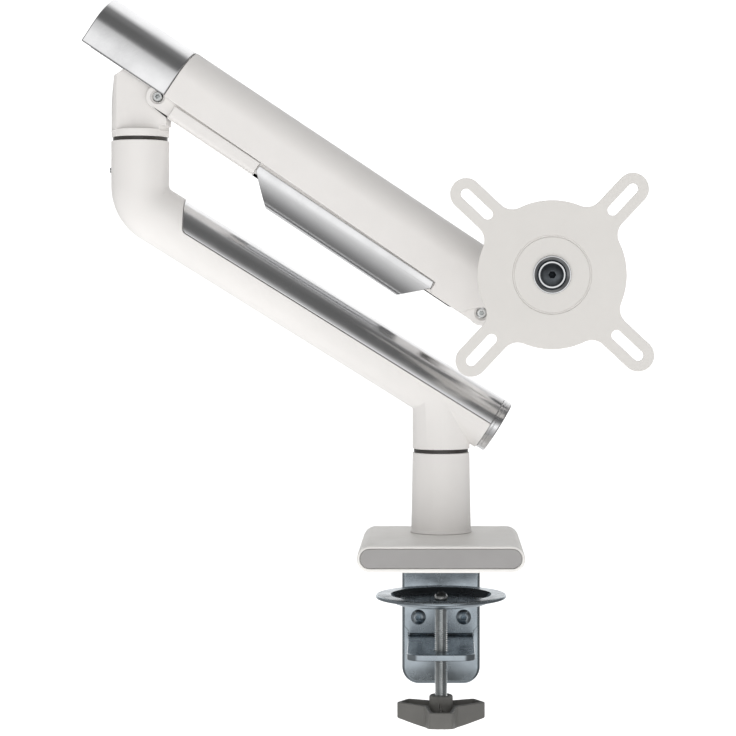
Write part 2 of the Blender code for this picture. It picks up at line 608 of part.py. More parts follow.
def make_lower_arm(body):
    at_elbow = Matrix.Translation((ELBOW_X, 0.0, 0.0))
    seat, bore, sleeve_bore = 86.0, SPINDLE_R + RUN, SLEEVE_R + GAP
    arm = piece("lower_arm", bent_tube(TUBE_R, BEAM_END, ELBOW_TOP), body, "white_paint")
    join(arm, cylinder(BARREL_R, BARREL_BOTTOM, BEAM_Z))
    cut(arm, bent_tube(TUBE_BORE_R, BEAM_END + 10.0, 238.0, 16))
    join(arm, cylinder(HUB_R, BARREL_BOTTOM + 6.0, HUB_TOP, steps=16))
    cut(
        arm,
        prism(cover_outline(0.0), -30.0, 30.0, BEAM @ FRONT),
        cylinder(sleeve_bore, 0.0, seat, steps=20),
        cylinder(bore, 0.0, 2.0 * FAR, steps=20),
        cylinder(bore, 230.0, 300.0, at_elbow, 20),
        cylinder(sleeve_bore, 252.0, 300.0, at_elbow, 20),
        bar(0.0, 0.0, GRUB_R + GAP, 6.0, 30.0, facing(ELBOW_X, 0.0, GRUB_Z, "-X"), 12),
    )
    bushing("base_bushing", body, 0.0, POST_TOP + GAP, POST_TOP + GAP, seat - GAP)
    bushing("elbow_bushing", body, ELBOW_X, ELBOW_TOP + GAP, 252.0 + GAP, 0.0)
    grub = [(0.0, SPINDLE_R + GAP), (GRUB_R, SPINDLE_R + GAP), (GRUB_R, TUBE_R + 0.6)]
    grub += [(GRUB_R - 0.4, TUBE_R + 0.9), (0.9, TUBE_R + 0.9), (0.9, TUBE_R - 1.2), (0.0, TUBE_R - 1.2)]
    grub = turned(grub, facing(ELBOW_X, 0.0, GRUB_Z, "-X"), 12)
    piece("elbow_grub_screw", grub, body, "bright_zinc")

    section = arc(0.0, 0.0, COVER_R, 0.0, 180.0, 16) + arc(0.0, 0.0, COVER_BORE_R, 180.0, 0.0, 16)
    cover = prism(section, -230.0, BEAM_END, BEAM @ SIDE)
    cover = piece("lower_arm_cable_cover", cover, body, "aluminium")
    keep(cover, prism(cover_outline(GAP), -30.0, 30.0, BEAM @ FRONT))

    rim, face = 17.4, BEAM_END + GAP
    cap = [
        (0.0, BEAM_END - 6.0),
        (15.3, BEAM_END - 6.0),
        (15.3, face),
        (rim, face),
        (rim, face + CAP_THICK - 0.8),
        (rim - 0.8, face + CAP_THICK),
        (0.0, face + CAP_THICK),
    ]
    along = BEAM @ Matrix.Rotation(pi / 2.0, 4, "Y")
    piece("lower_arm_end_cap", turned(cap, along), body, "aluminium")


# ---- Knuckle -------------------------------------------------------------------------------------


def pin(name, body, at, r, half, finish="bright_zinc"):
    """A round pin across the arm, centred on Y = 0."""
    piece(name, bar(at.x, at.z, r, -half, half, FRONT, 16), body, finish)


def pin_hole(at, r):
    return bar(at.x, at.z, r, -FAR, FAR, FRONT, 20)


def make_knuckle(body):
    x0, x1 = ELBOW_X - BARREL_R, ELBOW_X + BARREL_R
    at_elbow = Matrix.Translation((ELBOW_X, 0.0, 0.0))
    link_boss_r, arm_boss_r = 8.5, 9.0
    link_x, link_z, arm_z = LINK_PIN.x, LINK_PIN.z, ARM_PIN.z
    outline = [(x0, KNUCKLE_FLANGE_TOP - 1.0), (x1, KNUCKLE_FLANGE_TOP - 1.0)]
    outline += arc(link_x, link_z, link_boss_r, -53.0, 0.0, 6)
    outline += arc(link_x, arm_z, arm_boss_r, 0.0, 125.0, 10)
    outline += filleted([(x1, 300.0, 0.0), (x0 + 2.9, 306.0, 1.5), (x0, 283.6, 3.0), (x0, 270.0, 0.0)])[1:-1]
    fork = prism(outline, -KNUCKLE_HALF, KNUCKLE_HALF, FRONT)
    knuckle = piece("elbow_knuckle", fork, body, "white_paint")
    plan = disc(ELBOW_X, 0.0, BARREL_R, 24)
    join(knuckle, prism(plan, KNUCKLE_BOTTOM, KNUCKLE_FLANGE_TOP))
    rounding = prism(disc(ELBOW_X, 0.0, BARREL_R + 0.05, 32), KNUCKLE_BOTTOM - 1.0, 340.0)
    rounding = helper("knuckle_rounding", rounding, body)
    join(rounding, prism(box(ELBOW_X + 8.0, -150.0, -20.0, 20.0), 274.0, 340.0))
    keep(knuckle, rounding)
    slot = box(ELBOW_X - 8.5, -140.0, FORK_BOTTOM, 340.0)
    anchor = ARM_PIN - Vector((0.0, 0.0, ANCHOR_DROP))
    cut(
        knuckle,
        prism(slot, -FORK_HALF, FORK_HALF, FRONT),
        pin_hole(ARM_PIN, PIVOT_R + GAP),
        pin_hole(LINK_PIN, LINK_PIVOT_R + GAP),
        cylinder(SPINDLE_R + GAP, 200.0, 281.0, at_elbow, 24),
        cylinder(TENSION_R + GAP, 200.0, 300.0, at_elbow, 16),
    )
    groove_r = SPINDLE_R - 0.8
    spindle = [
        (TENSION_R + GAP, 240.0),
        (SPINDLE_R, 240.0),
        (SPINDLE_R, GRUB_Z - 3.0),
        (groove_r, GRUB_Z - 2.4),
        (groove_r, GRUB_Z + 2.4),
        (SPINDLE_R, GRUB_Z + 3.0),
        (SPINDLE_R, 280.7),
        (TENSION_R + GAP, 280.7),
    ]
    piece("knuckle_spindle", turned(spindle, at_elbow, 16), body, "bright_zinc")
    pin("arm_pivot_pin", body, ARM_PIN, PIVOT_R, SPIGOT_HALF - 0.9)
    pin("link_pivot_pin", body, LINK_PIN, LINK_PIVOT_R, LINK_FLANGE_OUT + 0.3)
    pin("spring_anchor_pin", body, anchor, ANCHOR_R, 7.0)

    web_front, ear_in, ear_out = -186.5, SPRING_ROD_R + GAP, FORK_HALF - GAP
    low, high = anchor.z - 6.4, anchor.z + 6.6
    block = prism(rounded_box(-197.0, -171.8, low, high, 2.0, 3), -ear_out, ear_out, FRONT)
    block = piece("tension_block", block, body, "dark_steel")
    cut(
        block,
        prism(box(web_front, -150.0, low - 1.0, high + 1.0), -ear_in, ear_in, FRONT),
        pin_hole(anchor, ANCHOR_R + GAP),
        cylinder(TENSION_R + GAP, 200.0, 340.0, at_elbow, 16),
    )
    frame = facing(TENSION_X, 0.0, 313.5, "+Z")
    bolt("tension_screw", body, "dark_steel", frame, TENSION_R, 4.6, 31.0, 4.0)


# ---- Upper arm -----------------------------------------------------------------------------------

ARM_SECTION = ARM @ SIDE
ARM_SIDE = ARM @ FRONT


def make_upper_arm(body):
    half, wall = SHELL_HALF, SHELL_WALL
    centre = SHELL_TOP - half
    head_u = PIN_U + ARM_LENGTH
    start = SLEEVE_FRONT + GAP
    shell = prism(arch(half, STEP_N, centre, 14), start, head_u + 22.0, ARM_SECTION)
    shell = piece("upper_arm_shell", shell, body, "white_paint")
    end = arc(head_u, PIN_N, SHELL_END_R, -62.0, 88.0, 12)
    side = [(start - 1.0, SLEEVE_EDGE - 0.2), (STEP_U, 0.0), (STEP_U, STEP_N + 2.0), (STEP_U + 2.0, STEP_N)]
    side += arc(STEP_FRONT_U - 6.0, STEP_N + 6.0, 6.0, -90.0, -15.0, 4)
    side += end + [(head_u, SHELL_TOP + 8.0), (start - 1.0, SHELL_TOP + 8.0)]
    keep(shell, prism(side, -FAR, FAR, ARM_SIDE))
    cut(shell, prism(arch(half - wall, -FAR, centre, 12), start - 10.0, head_u + 40.0, ARM_SECTION))
    spigot_u, spigot_low = 14.0, 10.0
    spigot = prism(arch(SPIGOT_HALF, spigot_low, centre, 12), SPIGOT_REAR, spigot_u, ARM_SECTION)
    inner = SPIGOT_HALF - SPIGOT_WALL
    blind = half - 1.2  # the head pin's seats don't break through the shell's walls
    join(shell, spigot)
    cut(
        shell,
        prism(arch(inner, -FAR, centre, 12), start - 1.0, spigot_u + 5.0, ARM_SECTION),
        prism(box(-inner, inner, -FAR, FAR), SPIGOT_REAR - 5.0, start - 0.2, ARM_SECTION),
        pin_hole(ARM_PIN, PIVOT_R + GAP),
        bar(HEAD_ARM_PIN.x, HEAD_ARM_PIN.z, PIVOT_R + GAP, -blind, blind, FRONT),
    )

    sleeve = arch(half, SLEEVE_EDGE, centre, 14)
    sleeve = prism(sleeve, SLEEVE_REAR, SLEEVE_FRONT, ARM_SECTION)
    sleeve = piece("rear_sleeve", sleeve, body, "aluminium")
    bore = arch(SPIGOT_HALF + GAP, -FAR, centre, 12)
    cut(sleeve, prism(bore, SLEEVE_REAR - 5.0, SLEEVE_FRONT + 5.0, ARM_SECTION))
    cap = arch(SPIGOT_HALF, SLEEVE_EDGE + 0.4, centre, 12)
    piece("rear_end_cap", prism(cap, SLEEVE_REAR + 0.3, SLEEVE_REAR + 1.9, ARM_SECTION), body, "white_paint")

    along = ARM @ Matrix.Translation((0.0, 0.0, SPRING_N)) @ Matrix.Rotation(pi / 2.0, 4, "Y")
    bore_end = SPRING_FRONT + 45.0
    tube = [
        (0.0, bore_end),
        (SPRING_BORE_R, bore_end),
        (SPRING_BORE_R, SPRING_FRONT),
        (SPRING_R - 2.0, SPRING_FRONT),
        (SPRING_R, SPRING_FRONT + 2.0),
        (SPRING_R, SPRING_REAR - 2.0),
        (SPRING_R - 2.0, SPRING_REAR),
        (0.0, SPRING_REAR),
    ]
    spring = piece("gas_spring_cylinder", turned(tube, along, 16), body, "spring_black")
    eye = capsule(SPRING_REAR - 3.0, SPRING_N, SPRING_PIN_U, SPRING_N, 6.0, 8)
    join(spring, prism(eye, -4.0, 4.0, ARM_SIDE))
    rear_pin = ARM @ Vector((SPRING_PIN_U, 0.0, SPRING_N))
    cut(spring, pin_hole(rear_pin, SPRING_PIN_R + GAP))
    pin("gas_spring_rear_pin", body, rear_pin, SPRING_PIN_R, half - wall - GAP)


def make_gas_rod(body):
    eye_u = (ARM_PIN - Vector((0.0, 0.0, ANCHOR_DROP)) - LINK_PIN).dot(ARM_AXIS)
    along = ARM @ Matrix.Translation((0.0, 0.0, SPRING_N)) @ Matrix.Rotation(pi / 2.0, 4, "Y")
    rod = cylinder(SPRING_ROD_R, eye_u + EYE_BORE_R + 0.8, SPRING_FRONT + 25.0, along, 20)
    rod = piece("gas_spring_rod", rod, body, "chrome")
    join(rod, bar(eye_u, SPRING_N, EYE_R, -EYE_HALF, EYE_HALF, ARM_SIDE, 24))
    cut(rod, bar(eye_u, SPRING_N, EYE_BORE_R, -FAR, FAR, ARM_SIDE, 24))


def trough(half, r):
    """Section of the lower link: an open channel with flanges nested inside the shell."""
    inner, low = LINK_FLANGE_IN, LINK_BOTTOM + LINK_SHEET
    right = [(half - r, LINK_BOTTOM)] + arc(half - r, LINK_BOTTOM + r, r, -60.0, 0.0, 3)
    if half > LINK_FLANGE_OUT:
        right += [(half, -GAP), (LINK_FLANGE_OUT, -GAP)]
    right += [(LINK_FLANGE_OUT, LINK_TOP), (inner, LINK_TOP), (inner, low)]
    return right + [(-x, z) for x, z in reversed(right)]


def make_lower_link(body):
    link = prism(trough(LINK_FLANGE_OUT, 2.5), LINK_FRONT, LINK_END, ARM_SECTION)
    link = piece("lower_link", link, body, "white_paint")
    join(link, prism(trough(LINK_OUT, 3.0), LINK_FRONT, LINK_STRIP_END - GAP, ARM_SECTION))
    flange = capsule(0.0, 0.0, ARM_LENGTH, 0.0, LINK_EAR_R, 10)
    for low, high in ((LINK_FLANGE_IN, LINK_FLANGE_OUT), (-LINK_FLANGE_OUT, -LINK_FLANGE_IN)):
        ears = prism(flange, low, high, ARM_SIDE)
        join(link, ears)
    over = prism(box(LINK_FRONT, ARM_LENGTH - 8.0, LINK_TOP, FAR), -FAR, FAR, ARM_SIDE)
    cut(
        link,
        over,
        pin_hole(LINK_PIN, LINK_PIVOT_R + GAP),
        pin_hole(HEAD_LINK_PIN, LINK_PIVOT_R + GAP),
    )

    tray = prism(TRAY_SIDE, -TRAY_HALF, TRAY_HALF, ARM_SIDE)
    tray = piece("under_arm_cable_cover", tray, body, "aluminium")
    low, r = -20.8, 11.0
    right = [(TRAY_HALF - r, low)] + arc(TRAY_HALF - r, low + r, r, -80.0, 0.0, 8) + [(TRAY_HALF, 5.0)]
    keep(tray, prism(right + [(-x, z) for x, z in reversed(right)], 0.0, 300.0, ARM_SECTION))
    inner_half, inner_r = TRAY_HALF - TRAY_WALL, r - TRAY_WALL
    floor = low + TRAY_WALL + 0.3
    right = [(inner_half - inner_r, floor)]
    right += arc(inner_half - inner_r, floor + inner_r, inner_r, -80.0, 0.0, 6) + [(inner_half, 10.0)]
    hollow = prism(right + [(-x, z) for x, z in reversed(right)], 0.0, 300.0, ARM_SECTION)
    hollow = helper("cable_space", hollow, body)
    side = [(79.6, -4.6), (95.4, -19.0), (192.8, -18.6), (206.8, -4.6), (206.8, 10.0), (79.6, 10.0)]
    keep(hollow, prism(side, -FAR, FAR, ARM_SIDE))
    channel = box(-LINK_FLANGE_OUT - GAP, LINK_FLANGE_OUT + GAP, LINK_BOTTOM - GAP, FAR)
    cut(tray, hollow, prism(channel, 0.0, 300.0, ARM_SECTION))


# ---- Head ----------------------------------------------------------------------------------------


def make_head_block(body):
    arm_x, arm_z, link_z = HEAD_ARM_PIN.x, HEAD_ARM_PIN.z, HEAD_LINK_PIN.z
    socket = Matrix.Translation((HEAD_X, 0.0, 0.0))
    tongue = capsule(arm_x, link_z, arm_x, arm_z, BLOCK_R, 10)
    block = prism(tongue, -BLOCK_HALF, BLOCK_HALF, FRONT)
    block = piece("head_block", block, body, "white_paint")
    neck = [
        (arm_x, link_z - BLOCK_R + 1.0),
        (HEAD_X, SOCKET_BOTTOM + 1.0),
        (HEAD_X, SOCKET_TOP - 0.6),
        (HEAD_X - SOCKET_R, SOCKET_TOP - 0.6),
        (arm_x + 4.0, arm_z + 6.0),
        (arm_x, arm_z),
    ]
    join(block, prism(neck, 0.5 - BLOCK_HALF, BLOCK_HALF - 0.5, FRONT))
    join(block, cylinder(SOCKET_R, SOCKET_BOTTOM, SOCKET_TOP, socket))
    cut(
        block,
        pin_hole(HEAD_ARM_PIN, PIVOT_R + GAP),
        pin_hole(HEAD_LINK_PIN, LINK_PIVOT_R + GAP),
        cylinder(HEAD_SPINDLE_R + RUN, 100.0, 200.0, socket, 24),
        cylinder(11.0, 100.0, SOCKET_BOTTOM + 7.0, socket, 24),
    )
    pin("head_arm_pin", body, HEAD_ARM_PIN, PIVOT_R, SHELL_HALF - 1.5)
    pin("head_link_pin", body, HEAD_LINK_PIN, LINK_PIVOT_R, LINK_FLANGE_OUT + 0.2)
    ring = [(HEAD_SPINDLE_R + RUN, SOCKET_TOP + GAP), (YOKE_R, SOCKET_TOP + GAP)]
    ring += [(YOKE_R, YOKE_BOTTOM - GAP), (HEAD_SPINDLE_R + RUN, YOKE_BOTTOM - GAP)]
    piece("head_bushing", turned(ring, socket, 20), body, "black_polymer")


def make_yoke(body):
    axis = Matrix.Translation((HEAD_X, 0.0, 0.0))
    yoke = piece("head_yoke", cylinder(YOKE_R, YOKE_BOTTOM, YOKE_TOP, axis), body, "white_paint")
    ear = capsule(TILT_Y, HEAD_Z, 0.0, HEAD_Z, EAR_R - 0.6, 10)
    for low, high in ((EAR_IN, EAR_OUT), (-EAR_OUT, -EAR_IN)):
        join(yoke, prism(ear, low, high, axis @ SIDE))
    across = facing(HEAD_X, TILT_Y, HEAD_Z, "+X")
    gap = box(-FAR, TILT_Y + EAR_R + 4.0, -FAR, FAR)
    cut(
        yoke,
        prism(gap, -EAR_IN, EAR_IN, HEAD @ SIDE),
        cylinder(HEAD_SPINDLE_R + GAP, 100.0, 200.0, axis, 20),
        cylinder(TILT_R + GAP, -FAR, FAR, across, 16),
    )
    top = facing(HEAD_X, 0.0, YOKE_TOP + GAP, "+Z")
    reach = YOKE_TOP + GAP - SOCKET_BOTTOM - 0.8
    bolt("head_spindle", body, "dark_steel", top, HEAD_SPINDLE_R, 9.0, reach, 3.6)
    under = facing(HEAD_X, 0.0, SOCKET_BOTTOM + 1.0, "+Z")
    hex_nut("head_spindle_nut", body, "dark_steel", under, 17.0, HEAD_SPINDLE_R + GAP, 5.7)
    out = EAR_OUT + GAP
    frame = facing(HEAD_X - out, TILT_Y, HEAD_Z, "-X")
    bolt("tilt_bolt", body, "dark_steel", frame, TILT_R, 6.6, 2.0 * out + 5.6, 4.0)
    frame = facing(HEAD_X + out, TILT_Y, HEAD_Z, "+X")
    hex_nut("tilt_nut", body, "dark_steel", frame, 12.0, TILT_R + GAP, 5.0)
    for i, side in enumerate((-1.0, 1.0)):
        middle = side * (EAR_IN + TILT_HUB_HALF) / 2.0
        ring = [(TILT_R + GAP, middle - 0.35), (EAR_R - 2.0, middle - 0.35)]
        ring += [(EAR_R - 2.0, middle + 0.35), (TILT_R + GAP, middle + 0.35)]
        piece(f"tilt_washer_{i + 1}", turned(ring, across, 12), body, "black_polymer")


def make_tilt_block(body):
    across = facing(HEAD_X, TILT_Y, HEAD_Z, "+X")
    ahead = facing(HEAD_X, 0.0, HEAD_Z, "-Y")
    hub = cylinder(EAR_R, -TILT_HUB_HALF, TILT_HUB_HALF, across, 20)
    block = piece("tilt_block", hub, body, "white_paint")
    back = -VESA_FACE - VESA_THICK  # depth of the plate's rear face in front of the swivel axis
    neck_r, flange_r = 8.6, 21.0
    profile = [
        (0.0, -TILT_Y + 2.0),
        (neck_r, -TILT_Y + 2.0),
        (neck_r, back - 14.0),
        (flange_r, back - 7.0),
        (flange_r, back - 2.6),
        (0.0, back - 2.6),
    ]
    join(block, turned(profile, ahead, 20))
    cut(
        block,
        cylinder(TILT_R + GAP, -FAR, FAR, across, 16),
        cylinder(TILT_R + GAP, -TILT_Y + EAR_R + 3.0, 100.0, ahead, 16),
    )
    washer_bore, washer_r, washer_low = BUSHING_R + GAP, 20.0, back - 2.3
    washer = [(washer_bore, washer_low), (washer_r, washer_low)]
    washer += [(washer_r, back - GAP), (washer_bore, back - GAP)]
    piece("rotation_washer", turned(washer, ahead, 16), body, "black_polymer")
    head = facing(HEAD_X, VESA_FACE + 1.4, HEAD_Z, "-Y")
    bolt("centre_bolt", body, "dark_steel", head, TILT_R, BOLT_HEAD_R, 30.0, 3.0)


def vesa_outline():
    """The plate's outline about its centre: a disc with four legs that end round the outer holes."""
    centre = sqrt((VESA_DISC_R + LEG_FILLET_R) ** 2 - (LEG_HALF + LEG_FILLET_R) ** 2)
    lean = degrees(atan2(LEG_HALF + LEG_FILLET_R, centre))
    points = []
    for leg in range(4):
        turn = Matrix.Rotation(VESA_ROLL + radians(45.0 + 90.0 * leg), 2)
        side = arc(centre, -LEG_HALF - LEG_FILLET_R, LEG_FILLET_R, 180.0 - lean, 90.0, 3)
        tip = arc(VESA_LARGE, 0.0, LEG_HALF, -90.0, 90.0, 8)
        other = [(x, -y) for x, y in reversed(side)]
        rim = arc(0.0, 0.0, VESA_DISC_R, lean, 90.0 - lean, 4)[1:-1]
        points += [tuple(turn @ Vector(point)) for point in side + tip + other + rim]
    return points


def make_vesa_plate(body):
    front = HEAD @ FRONT
    low, high = -VESA_FACE - VESA_THICK, -VESA_FACE
    plate = piece("vesa_plate", prism(vesa_outline(), low, high, front), body, "vesa_paint")
    for leg in range(4):
        turn = Matrix.Rotation(VESA_ROLL + radians(45.0 + 90.0 * leg), 4, "Z")
        slot = capsule(VESA_SMALL, 0.0, VESA_LARGE, 0.0, SLOT_HALF, 6)
        cut(plate, prism(slot, low - 5.0, high + 5.0, front @ turn))
    cut(plate, cylinder(BUSHING_R + GAP, 0.0, 100.0, front))
    bushing_low, lip_low, lip_high = low - 2.0, high + GAP, high + 0.8
    ring = [
        (TILT_R + RUN, bushing_low),
        (BUSHING_R, bushing_low),
        (BUSHING_R, lip_low),
        (BUSHING_LIP_R, lip_low),
        (BUSHING_LIP_R - 0.2, lip_high),
        (BUSHING_R - 0.2, lip_high),
        (BUSHING_BORE_R, high - 1.2),
        (BUSHING_BORE_R, high - 1.9),
        (TILT_R + RUN, high - 1.9),
    ]
    piece("vesa_bushing", turned(ring, front, 20), body, "chrome")


# ---- Assembly ------------------------------------------------------------------------------------


def main():
    clear_scene()
    root = pivot("root_body", (0.0, 0.0, 0.0))
    make_base(root)
    make_bracket(root)
    make_jaw(root)
    make_clamp(root)
    make_post(root)
    lower = pivot("lower_arm_body", (0.0, 0.0, BARREL_BOTTOM), root)
    make_lower_arm(lower)
    knuckle = pivot("elbow_knuckle_body", (ELBOW_X, 0.0, KNUCKLE_BOTTOM), lower)
    make_knuckle(knuckle)
    upper = pivot("upper_arm_body", ARM_PIN, knuckle)
    make_upper_arm(upper)
    make_gas_rod(pivot("gas_rod_body", ARM_PIN, upper))
    make_lower_link(pivot("lower_link_body", LINK_PIN, knuckle))
    head = pivot("head_block_body", HEAD_ARM_PIN, upper)
    make_head_block(head)
    yoke = pivot("head_yoke_body", (HEAD_X, 0.0, YOKE_BOTTOM), head)
    make_yoke(yoke)
    tilt = pivot("tilt_block_body", (HEAD_X, TILT_Y, HEAD_Z), yoke)
    make_tilt_block(tilt)
    make_vesa_plate(pivot("vesa_plate_body", (HEAD_X, VESA_FACE, HEAD_Z), tilt))


main()
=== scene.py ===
"""The looks of the monitor arm: fine rounded meshes, procedural finishes and a plain studio.

Lengths are in millimetres, in the CAD's frame, and are scaled to metres when a mesh is stored.
Only the studio at the end is in metres.
"""

import json
from math import atan2, cos, degrees, pi, radians, sin, sqrt, tan

import bmesh
import bpy
from mathutils import Matrix, Vector


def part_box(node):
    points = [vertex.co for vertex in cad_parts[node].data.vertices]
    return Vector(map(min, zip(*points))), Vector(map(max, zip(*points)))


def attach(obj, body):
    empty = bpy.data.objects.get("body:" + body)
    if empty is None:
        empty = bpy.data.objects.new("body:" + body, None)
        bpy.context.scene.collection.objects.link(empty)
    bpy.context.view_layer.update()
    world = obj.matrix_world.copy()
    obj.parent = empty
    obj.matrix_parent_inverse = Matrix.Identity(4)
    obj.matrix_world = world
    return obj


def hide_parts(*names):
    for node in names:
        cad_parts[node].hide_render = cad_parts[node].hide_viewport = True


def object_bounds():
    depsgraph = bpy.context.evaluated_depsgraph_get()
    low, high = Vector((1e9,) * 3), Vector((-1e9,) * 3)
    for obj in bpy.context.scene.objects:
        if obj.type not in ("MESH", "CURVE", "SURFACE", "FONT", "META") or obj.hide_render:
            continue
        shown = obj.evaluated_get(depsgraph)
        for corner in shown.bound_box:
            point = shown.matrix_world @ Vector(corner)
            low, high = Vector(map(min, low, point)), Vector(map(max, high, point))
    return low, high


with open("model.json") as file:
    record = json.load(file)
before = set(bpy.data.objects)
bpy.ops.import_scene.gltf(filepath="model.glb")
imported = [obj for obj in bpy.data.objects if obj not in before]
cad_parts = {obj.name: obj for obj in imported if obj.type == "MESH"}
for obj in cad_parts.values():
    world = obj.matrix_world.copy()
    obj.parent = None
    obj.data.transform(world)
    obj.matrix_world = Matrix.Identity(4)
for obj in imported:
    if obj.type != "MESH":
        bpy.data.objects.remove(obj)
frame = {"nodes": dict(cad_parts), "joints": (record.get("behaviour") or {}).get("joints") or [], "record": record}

CAD_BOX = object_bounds()
MM = 0.001
GAP = 0.3  # clearance between touching pieces, as in the CAD
FAR = 80.0  # how far a cutter runs past what it cuts

JOINTS = {joint["name"]: Vector(joint["pos_m"]) / MM for joint in frame["joints"] if "pos_m" in joint}


def span(node):
    """Lowest and highest corner of a CAD node, in millimetres."""
    low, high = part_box(node)
    return low / MM, high / MM


def middle(node):
    low, high = span(node)
    return (low + high) / 2.0


# Places taken from the frame's joints
ARM_PIN, LINK_PIN, HEAD_ARM_PIN = JOINTS["arm_lift"], JOINTS["link_lift"], JOINTS["head_level"]
ELBOW_X, HEAD_X, TILT = JOINTS["elbow_swivel"].x, JOINTS["head_swivel"].x, JOINTS["head_tilt"]
SCREW = JOINTS["clamp_screw_turn"]
ARM_LENGTH = (HEAD_ARM_PIN - ARM_PIN).length
ARM_TILT = atan2(ARM_PIN.z - HEAD_ARM_PIN.z, HEAD_ARM_PIN.x - ARM_PIN.x)
PIN_RISE = ARM_PIN.z - LINK_PIN.z
PIN_U, PIN_N = -PIN_RISE * sin(ARM_TILT), PIN_RISE * cos(ARM_TILT)
HEAD_LINK_PIN = HEAD_ARM_PIN - Vector((0.0, 0.0, PIN_RISE))
HEAD_Z = TILT.z

# Sizes shared by several pieces
SPINDLE_R, RUN = 8.0, 0.4
TUBE_R, TUBE_BORE_R, BARREL_R = 18.3, 15.9, 18.1
LOWER_TILT, BEAM_Z, BEAM_END = radians(31.9), 105.4, 36.6
ELBOW_BEND_R, COVER_END_X = 21.0, -162.0
SHELL_HALF, SHELL_WALL, SHELL_TOP = 18.5, 2.5, 36.9
SLEEVE_FRONT, SLEEVE_EDGE = 3.0, 2.7
SPIGOT_HALF, SPIGOT_WALL, SPIGOT_REAR = 16.2, 2.6, -24.0
LINK_OUT, LINK_FLANGE_OUT, LINK_FLANGE_IN = 17.9, 15.6, 13.2
LINK_BOTTOM, LINK_SHEET, LINK_TOP, LINK_EAR_R = -7.5, 2.4, 5.0, 7.5
LINK_FRONT, LINK_STRIP_END, LINK_END, LINK_LIP = 12.6, 76.9, 225.0, 1.1
PIVOT_R, LINK_PIVOT_R, TILT_R = 4.0, 3.0, 4.0
BUSHING_BORE_R, BUSHING_R, HEAD_BORE_R, JAW_HOLE_R = 8.4, 10.3, 6.4, 3.3
KNOB_R, KNOB_TURNS = 28.0, (-90.0, 30.0, 150.0)
VESA_ROLL = radians(1.8)
VESA_TURNS = [VESA_ROLL + radians(45.0 + 90.0 * leg) for leg in range(4)]
BEVEL_ANGLE, SMOOTH_ANGLE = radians(32.0), radians(38.0)

# Frames: each maps a local (x, y, depth) to the object's millimetres
PLAN = Matrix.Identity(4)
FRONT = Matrix(((1, 0, 0, 0), (0, 0, -1, 0), (0, 1, 0, 0), (0, 0, 0, 1)))  # from the front, depth to -Y
SIDE = Matrix(((0, 0, 1, 0), (1, 0, 0, 0), (0, 1, 0, 0), (0, 0, 0, 1)))  # (Y, Z), depth along +X
BEAM = Matrix.Translation((0.0, 0.0, BEAM_Z)) @ Matrix.Rotation(LOWER_TILT, 4, "Y")
ARM = Matrix.Translation(LINK_PIN) @ Matrix.Rotation(ARM_TILT, 4, "Y")
ARM_SECTION, ARM_SIDE = ARM @ SIDE, ARM @ FRONT
HEAD = Matrix.Translation((HEAD_X, 0.0, HEAD_Z))


def facing(x, y, z, axis):
    """A frame at a point whose depth runs along an axis named +X, -Y and so on."""
    turns = {
        "+Z": Matrix.Identity(4),
        "+X": Matrix.Rotation(pi / 2, 4, "Y"),
        "-X": Matrix.Rotation(-pi / 2, 4, "Y"),
        "-Y": Matrix.Rotation(pi / 2, 4, "X"),
        "+Y": Matrix.Rotation(-pi / 2, 4, "X"),
    }
    return Matrix.Translation((x, y, z)) @ turns[axis]


def upright(x, y=0.0):
    """A frame whose depth is the object's own height, about an upright axis."""
    return Matrix.Translation((x, y, 0.0))


# ---- Outlines ----


def quarter(steps=6):
    """Angles from 0 to a right angle."""
    return [radians(90.0 * k / steps) for k in range(steps + 1)]


def arc(x, y, r, start, end, steps):
    """Points on a circle from angle start to angle end, both in degrees, ends included."""
    angles = [radians(start + (end - start) * i / steps) for i in range(steps + 1)]
    return [(x + r * cos(a), y + r * sin(a)) for a in angles]


def disc(x, y, r, steps=64):
    return arc(x, y, r, 0.0, 360.0, steps)[:-1]


def box(x0, x1, y0, y1):
    return [(x0, y0), (x1, y0), (x1, y1), (x0, y1)]


def capsule(x0, y0, x1, y1, r, steps=24):
    """The outline of a bar with round ends about two centres."""
    a = degrees(atan2(y1 - y0, x1 - x0))
    return arc(x1, y1, r, a - 90, a + 90, steps) + arc(x0, y0, r, a + 90, a + 270, steps)


def filleted(corners, steps=6):
    """A polygon of (x, y, fillet radius) corners, with each corner rounded to its radius."""
    points = []
    for i, (x, y, r) in enumerate(corners):
        here = Vector((x, y))
        back = (Vector(corners[i - 1][:2]) - here).normalized()
        on = (Vector(corners[(i + 1) % len(corners)][:2]) - here).normalized()
        if r == 0.0:
            points.append((x, y))
            continue
        half = back.angle(on) / 2.0
        centre = here + (back + on).normalized() * (r / sin(half))
        first = here + back * (r / tan(half)) - centre
        last = here + on * (r / tan(half)) - centre
        turn = 1.0 if first.to_3d().cross(last.to_3d()).z > 0 else -1.0
        sweep = turn * (pi - 2.0 * half)
        for k in range(steps + 1):
            points.append(tuple(centre + Matrix.Rotation(sweep * k / steps, 2) @ first))
    return points


def rounded_box(x0, x1, y0, y1, r, steps=6):
    return filleted([(x, y, r) for x, y in box(x0, x1, y0, y1)], steps)


def arch(half, bottom, centre, steps=48):
    """An upright section with straight sides and a half-round top about the given height."""
    return [(-half, bottom), (half, bottom)] + arc(0.0, centre, half, 0.0, 180.0, steps)


def mirrored(right):
    """A section from its right half, listed from the bottom up."""
    return right + [(-x, z) for x, z in reversed(right)]


# ---- Meshes ----


